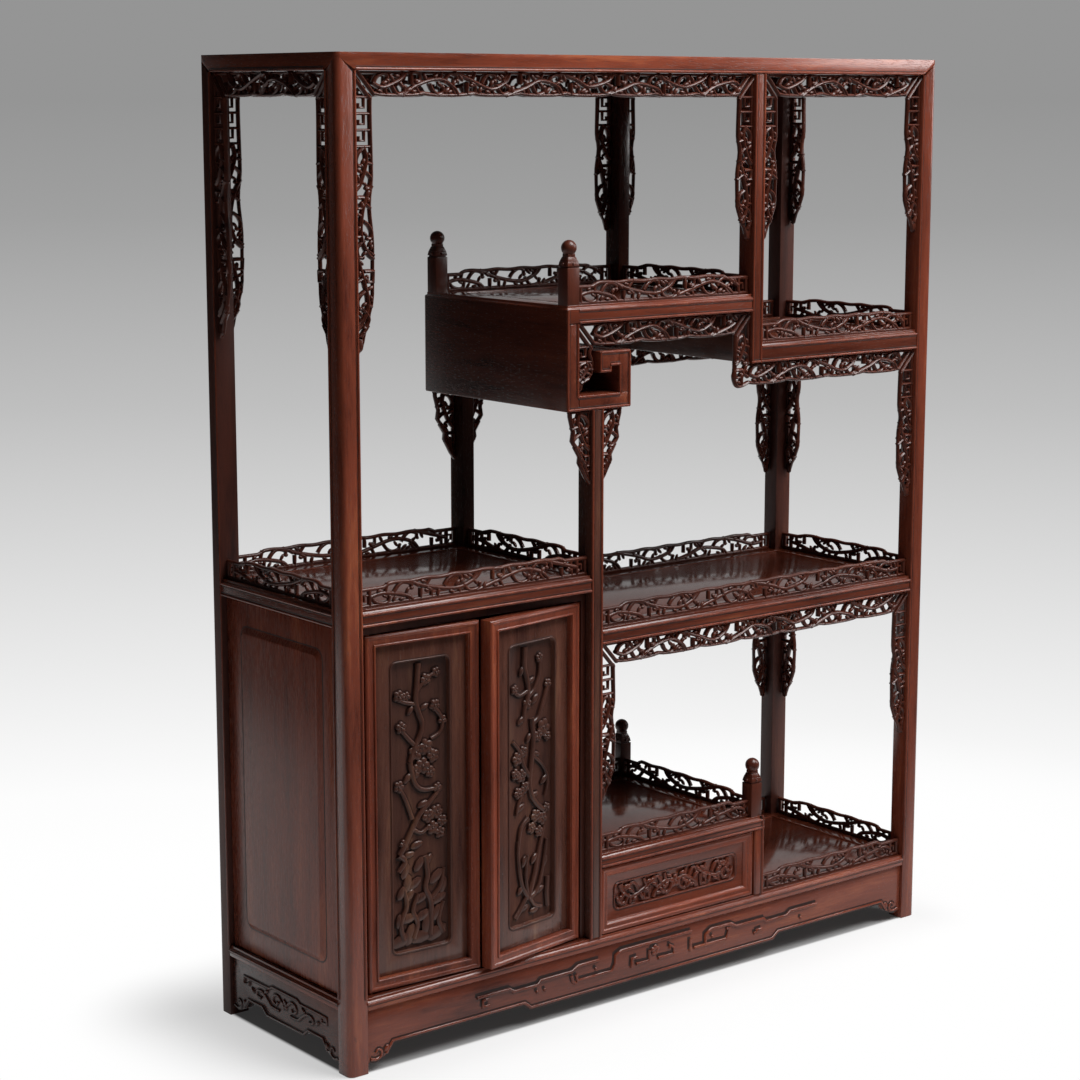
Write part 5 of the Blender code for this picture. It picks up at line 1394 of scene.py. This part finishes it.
class CABINET_OT_base(bpy.types.Operator):
    """Base aprons with a square fret in relief and scroll feet"""

    bl_idname = "cabinet.base"
    bl_label = "Base aprons"

    def execute(self, context):
        for side, grain in (("front", "x"), ("rear", "x"), ("left", "y"), ("right", "y")):
            self.apron(f"base_apron_{side}", frame_wood(grain, APRON_TONES[side]))
        low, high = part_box("base_apron_front")
        fret, edge = self.front_fret(), self.lower_edge(low[0], high[0], FRONT_STEP)
        dx, dz = FRET_SHIFT
        raised = fret.moved(lambda x, z: (x + dx, z + dz)).wider(FRET_SPREAD)
        raised.add(edge)
        # The unshifted fret and a wider edge bead, in dark wood, are painted shadow beside the raised work
        fret.add(edge.wider(EDGE_SHADOW_SPREAD))
        face = front_plane(low[1])
        shade_halo("base_apron_front_hollow", fret, face, "carcass", FRET_SHADOW_LINE)
        relief("base_apron_front_relief", [(raised, face)], "carcass", 1.0, frame_wood("x"))
        low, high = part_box("base_apron_rear")
        back = self.lower_edge(low[0], high[0], FRONT_STEP)
        relief("base_apron_rear_relief", [(back, front_plane(high[1]))], "carcass", 1.0, frame_wood("x"))
        for hand, corner in (("left", 0), ("right", 1)):
            low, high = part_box(f"base_apron_{hand}")
            side = self.lower_edge(low[1], high[1], SIDE_STEP)
            side.add(self.side_fret((low[1] + high[1]) / 2))
            plane = side_plane((low, high)[corner][0])
            wood = frame_wood("y", SIDE_RELIEF_TONES[hand])
            # Painted shade on the ground round the side relief
            shade_halo(f"base_apron_{hand}_hollow", side, plane, "carcass")
            relief(f"base_apron_{hand}_relief", [(side, plane)], "carcass", 1.0, wood)
        return {"FINISHED"}

    def apron(self, node, wood):
        """A base apron with its shaped lower edge drawn further down."""
        bm = merged_copy(node)
        shaped = [v for v in bm.verts if v.co.z < SHAPED_BELOW]
        bmesh.ops.translate(bm, vec=(0, 0, -APRON_DROP), verts=shaped)
        soften(bm, carving().edge)
        piece(f"{node}_wood", bm, [wood], "carcass", (node,))

    def lower_edge(self, low, high, step):
        """A bead along the shaped lower edge, curled at the feet."""
        curl = ((0.004, 0.0185), (0.010, 0.0170), (0.016, 0.0190), (0.017, 0.0240), (0.013, 0.0265),
                (0.010, 0.0235))
        edge_level, middle_level = 0.030 + EDGE_RISE, 0.0235 + EDGE_RISE
        edge = ((0.022, 0.0205), (0.030, edge_level), (step, edge_level), (step + 0.008, middle_level))
        drawing = Drawing()
        for way, end in ((1, low), (-1, high)):
            drawing.stroke(smooth_path([(end + way * d, z) for d, z in curl], 4), *CURL_HALVES)
            drawing.leaf(end + way * 0.0225, 0.0255, 0.0042, 0.0026, way * 1.1)
        line = [(low + d, z) for d, z in edge] + [(high - d, z) for d, z in reversed(edge)]
        drawing.stroke(line, EDGE_HALF)
        return drawing.moved(lambda x, z: (x, z - APRON_DROP))

    def front_fret(self):
        """A square fret to both sides of a small flower: stations along in millimetres, on six levels."""
        toe, foot, waist, line, high, crown = FRET_LEVELS
        tail = ((230, line), (190, line), (184, waist), (154, waist), (150, line), (110, line), (102, high),
                (74, high))
        left_tail = [(-x - 5, z) for x, z in tail]
        right_tail = [*tail, (66, line), (66, foot)]
        left_key = ((-110, waist), (-108, foot), (-62, foot), (-58, waist), (-58, high), (-50, crown),
                    (46, crown))
        right_key = ((50, foot), (96, foot), (100, line), (96, line))
        hooks = (
            ((-220, waist), (-228, waist), (-228, foot), (-220, foot)),
            ((-116, waist), (-114, foot), (-110, toe)),
            ((-28, waist), (-36, waist), (-36, toe)),
            ((-30, foot), (-12, foot), (-12, line)),
            ((0, foot), (22, foot), (22, waist), (16, line), (16, waist)),
            ((45, line), (45, toe)),
            ((148, foot), (140, foot), (140, toe), (136, toe)))
        drawing = Drawing()
        for band in (left_tail, right_tail, left_key, right_key, *hooks):
            drawing.stroke([(x * MILLIMETRE, z) for x, z in band], FRET_HALF)
        for x, z in ((-190, waist), (-160, foot), (-150, foot), (-84, waist), (76, waist), (206, foot)):
            drawing.leaf(x * MILLIMETRE, z, FRET_DOT, FRET_DOT, 0)
        blossom(drawing, -0.004, 0.0450, FRET_BLOOM, math.pi / 2)
        return drawing

    def side_fret(self, middle):
        """A fret line over curls on a side apron, to both sides of a small flower, in millimetres."""
        bands = (((0, 55), (22, 55), (28, 52), (62, 52), (74, 52), (74, 45), (65, 45), (65, 48)),
                 ((6, 45), (12, 49), (19, 47.5), (21, 42), (15, 39), (12, 42.5)),
                 ((10, 34.5), (24, 35), (31, 40), (40, 45), (49, 44), (50, 39), (43, 38)))
        drawing = Drawing()
        for way in (-1, 1):
            for band in bands:
                points = [(middle + way * d * MILLIMETRE, z * MILLIMETRE) for d, z in band]
                drawing.stroke(points if band is bands[0] else smooth_path(points, 4), SIDE_FRET_HALF)
            drawing.leaf(middle + way * 0.033, 0.0470, 0.0045, 0.0022, -way * 0.5)
            drawing.leaf(middle + way * 0.058, 0.0415, 0.0040, 0.0022, way * 0.7)
        blossom(drawing, middle, 0.0430, SIDE_BLOOM, 0.2)
        return drawing.moved(lambda y, z: (y, z - SIDE_FRET_DROP))


SENSOR_WIDTH, CLIP_START = 36, 0.05
# Lights: place, what they aim at, size and power
LIGHTS = {
    "key": ((0.6, -1.1, 2.5), (0.05, 0, 0.50), 1.6, 76),
    "fill": ((2.2, -1.1, 1.5), (0.05, 0, 0.45), 1.0, 18),
}
FLOOR_RADIUS, FLOOR_DROP = 2.4, 0.0005
# The floor's colour: darker near the cabinet as painted shadow, pale further out
FLOOR_PAINTED_SHADOW, FLOOR_PALE = (0.30, 0.30, 0.30, 1), (0.92, 0.92, 0.92, 1)
# Distances from the cabinet over which the floor fades out, for the camera, for reflections and for light
CAMERA_FADE, MIRROR_FADE, LIGHT_FADE = (0.30, 0.75), (0.95, 1.60), (1.10, 2.00)
MIRROR_AHEAD, MIRROR_LEAST = (0.05, 0.34), 0.28
# Reach of the contact shadow where the cabinet stands, which is partly painted, of the painted shadow in the
# floor's colour, and of the floor's glow
CONTACT, PAINTED_SHADOW_REACH, LIT_REACH = 0.006, 0.09, 0.17
# Backdrop: share of the way from its low end up to eye level, and the grey there
GREYS = ((0.0, 1.0), (0.10, 0.98), (0.60, 0.52), (0.85, 0.35), (1.0, 0.30))
BACKDROP_LOW = -0.30
ROOM_LIGHT = 0.035
SHEET_EDGE, SHEET_FULL, ROOM_SHARE = 0.50, 0.85, 0.05


def ray(bench, kind):
    return bench.node("ShaderNodeLightPath", output=f"Is {kind} Ray")


def faded(bench, value, start, end, low=0.0):
    """A smooth rise to 1 as a value goes from start to end."""
    return bench.node("ShaderNodeMapRange", {"interpolation_type": "SMOOTHSTEP"}, {
        0: value, 1: start, 2: end, 3: low, 4: 1.0})


def mixed_colour(bench, share, first, second):
    return bench.node("ShaderNodeMix", {"data_type": "RGBA"}, {0: share, 6: first, 7: second}, output=2)


class CABINET_OT_stage(bpy.types.Operator):
    """Camera, soft studio light and a pale floor that fades into the backdrop"""

    bl_idname = "cabinet.stage"
    bl_label = "Stage"

    def execute(self, context):
        stage = context.scene.cabinet_stage
        middle = Vector((0, (FRONT + BACK) / 2, 0))
        camera = bpy.data.objects.new("camera", bpy.data.cameras.new("camera"))
        camera.data.lens = stage.lens
        camera.data.sensor_width = SENSOR_WIDTH
        camera.data.clip_start = CLIP_START
        camera.location = middle + Vector(stage.camera_place)
        camera.rotation_euler = (math.pi / 2 - stage.tilt, 0, stage.heading)
        context.scene.collection.objects.link(camera)
        context.scene.camera = camera
        for name, settings in LIGHTS.items():
            self.light(name, *settings)
        self.floor(middle)
        self.backdrop(context.scene)
        context.scene.view_settings.view_transform = "Standard"
        return {"FINISHED"}

    def light(self, name, place, aim, size, power):
        data = bpy.data.lights.new(name, "AREA")
        data.shape = "DISK"
        data.size = size
        data.energy = power
        lamp = bpy.data.objects.new(name, data)
        lamp.location = place
        lamp.rotation_euler = (Vector(aim) - Vector(place)).to_track_quat("-Z", "Y").to_euler()
        bpy.context.scene.collection.objects.link(lamp)

    def floor(self, middle):
        bm = bmesh.new()
        bmesh.ops.create_circle(bm, cap_ends=True, segments=64, radius=FLOOR_RADIUS)
        mesh = bpy.data.meshes.new("floor")
        bm.to_mesh(mesh)
        bm.free()
        mesh.materials.append(self.floor_material())
        floor = bpy.data.objects.new("floor", mesh)
        floor.location = middle + Vector((0, 0, -FLOOR_DROP))
        bpy.context.scene.collection.objects.link(floor)

    def floor_material(self):
        """A pale floor, with painted shadow where the cabinet stands on it, that fades into the backdrop."""
        material = bpy.data.materials.new("pale_floor")
        material.use_nodes = True
        bench = Bench(material.node_tree)
        place = bench.node("ShaderNodeTexCoord", output="Object")
        x = bench.node("ShaderNodeSeparateXYZ", None, {0: place}, output="X")
        y = bench.node("ShaderNodeSeparateXYZ", None, {0: place}, output="Y")

        def beyond(value, reach):
            clear = value.math("ABSOLUTE", value, 0) - reach
            return clear.math("MAXIMUM", clear, 0)

        wide, deep = (RIGHT - LEFT) / 2 - POST_ROUND, (BACK - FRONT) / 2 - POST_ROUND
        away = (beyond(x, wide) ** 2 + beyond(y, deep) ** 2) ** 0.5
        ahead = y * -1 - deep
        camera_ray, glossy_ray = ray(bench, "Camera"), ray(bench, "Glossy")
        seen = camera_ray.math("MAXIMUM", camera_ray, glossy_ray)
        mirrored = away.math("MAXIMUM", faded(bench, away, *MIRROR_FADE), faded(bench, ahead, *MIRROR_AHEAD))
        mirrored = away.math("MAXIMUM", mirrored, MIRROR_LEAST)
        fade = (faded(bench, away, *CAMERA_FADE) * camera_ray + mirrored * glossy_ray
                + faded(bench, away, *LIGHT_FADE) * (1 - seen))
        contact = faded(bench, away, 0.0, CONTACT)
        lit = contact * 0.54 + faded(bench, away, 0.0, LIT_REACH) * 0.435 + 0.025
        # Painted shadow: the floor's colour darkens towards the cabinet for camera and reflected rays
        near = contact * 0.75 + faded(bench, away, 0.0, PAINTED_SHADOW_REACH) * 0.25
        grey = mixed_colour(bench, near.math("MAXIMUM", near, 1 - seen), FLOOR_PAINTED_SHADOW, FLOOR_PALE)
        matt = bench.node("ShaderNodeBsdfDiffuse", None, {"Color": grey})
        white = bench.node("ShaderNodeEmission", None, {"Color": (1, 1, 1, 1), "Strength": 1.0})
        pale = bench.node("ShaderNodeMixShader", None, {0: seen * lit, 1: matt, 2: white})
        clear = bench.node("ShaderNodeBsdfTransparent")
        mixed = bench.node("ShaderNodeMixShader", None, {0: fade, 1: pale, 2: clear})
        bench.node("ShaderNodeOutputMaterial", None, {"Surface": mixed})
        return material

    def backdrop(self, scene):
        """A sheet behind the cabinet that goes from grey above to white below, in a dark room."""
        world = bpy.data.worlds.new("studio")
        scene.world = world
        world.use_nodes = True
        bench = Bench(world.node_tree)
        way = bench.node("ShaderNodeTexCoord", output="Generated")
        height = bench.node("ShaderNodeSeparateXYZ", None, {0: way}, output="Z")
        share = bench.node("ShaderNodeMapRange", None, {0: height, 1: BACKDROP_LOW, 2: 0.0, 3: 0.0, 4: 1.0})
        ramp = bench.node("ShaderNodeValToRGB", {"stops": [(p, (g, g, g)) for p, g in GREYS]}, {0: share})
        seen = bench.node("ShaderNodeBackground", None, {"Color": ramp, "Strength": 1.0})
        even = bench.node("ShaderNodeBackground", None, {"Color": (1, 1, 1, 1), "Strength": ROOM_LIGHT})
        heading = scene.cabinet_stage.heading
        ahead = bench.node("ShaderNodeVectorMath", {"operation": "DOT_PRODUCT"}, {
            0: way, 1: (-math.sin(heading), math.cos(heading), 0)}, output="Value")
        sheet = faded(bench, ahead, SHEET_EDGE, SHEET_FULL, ROOM_SHARE)
        dimmed = mixed_colour(bench, sheet, (0, 0, 0, 1), ramp)
        mirrored = bench.node("ShaderNodeBackground", None, {"Color": dimmed, "Strength": 1.0})
        camera_ray, glossy_ray = ray(bench, "Camera"), ray(bench, "Glossy")
        unseen = bench.node("ShaderNodeMixShader", None, {0: glossy_ray, 1: even, 2: mirrored})
        mixed = bench.node("ShaderNodeMixShader", None, {0: camera_ray, 1: unseen, 2: seen})
        bench.node("ShaderNodeOutputWorld", None, {"Surface": mixed})


class CABINET_PT_looks(bpy.types.Panel):
    """Sizes, colours and steps of the cabinet's looks"""

    bl_idname = "CABINET_PT_looks"
    bl_label = "Curio cabinet"
    bl_space_type = "VIEW_3D"
    bl_region_type = "UI"
    bl_category = "Cabinet"

    def draw(self, context):
        for group in (context.scene.cabinet_wood, context.scene.cabinet_carving, context.scene.cabinet_stage):
            for name in group.__annotations__:
                self.layout.prop(group, name)
        for operator in OPERATORS:
            self.layout.operator(operator.bl_idname)


OPERATORS = (CABINET_OT_carcass, CABINET_OT_shelves, CABINET_OT_fretwork, CABINET_OT_doors, CABINET_OT_drawer,
             CABINET_OT_base, CABINET_OT_stage)
CLASSES = (CabinetWood, CabinetCarving, CabinetStage, *OPERATORS, CABINET_PT_looks)


def register():
    for cls in CLASSES:
        bpy.utils.register_class(cls)
    bpy.types.Scene.cabinet_wood = PointerProperty(type=CabinetWood)
    bpy.types.Scene.cabinet_carving = PointerProperty(type=CabinetCarving)
    bpy.types.Scene.cabinet_stage = PointerProperty(type=CabinetStage)


def unregister():
    del bpy.types.Scene.cabinet_stage
    del bpy.types.Scene.cabinet_carving
    del bpy.types.Scene.cabinet_wood
    for cls in reversed(CLASSES):
        bpy.utils.unregister_class(cls)


def main():
    register()
    bpy.ops.cabinet.carcass()
    bpy.ops.cabinet.shelves()
    bpy.ops.cabinet.fretwork()
    bpy.ops.cabinet.doors()
    bpy.ops.cabinet.drawer()
    bpy.ops.cabinet.base()
    bpy.ops.cabinet.stage()


if __name__ == "__main__":
    main()
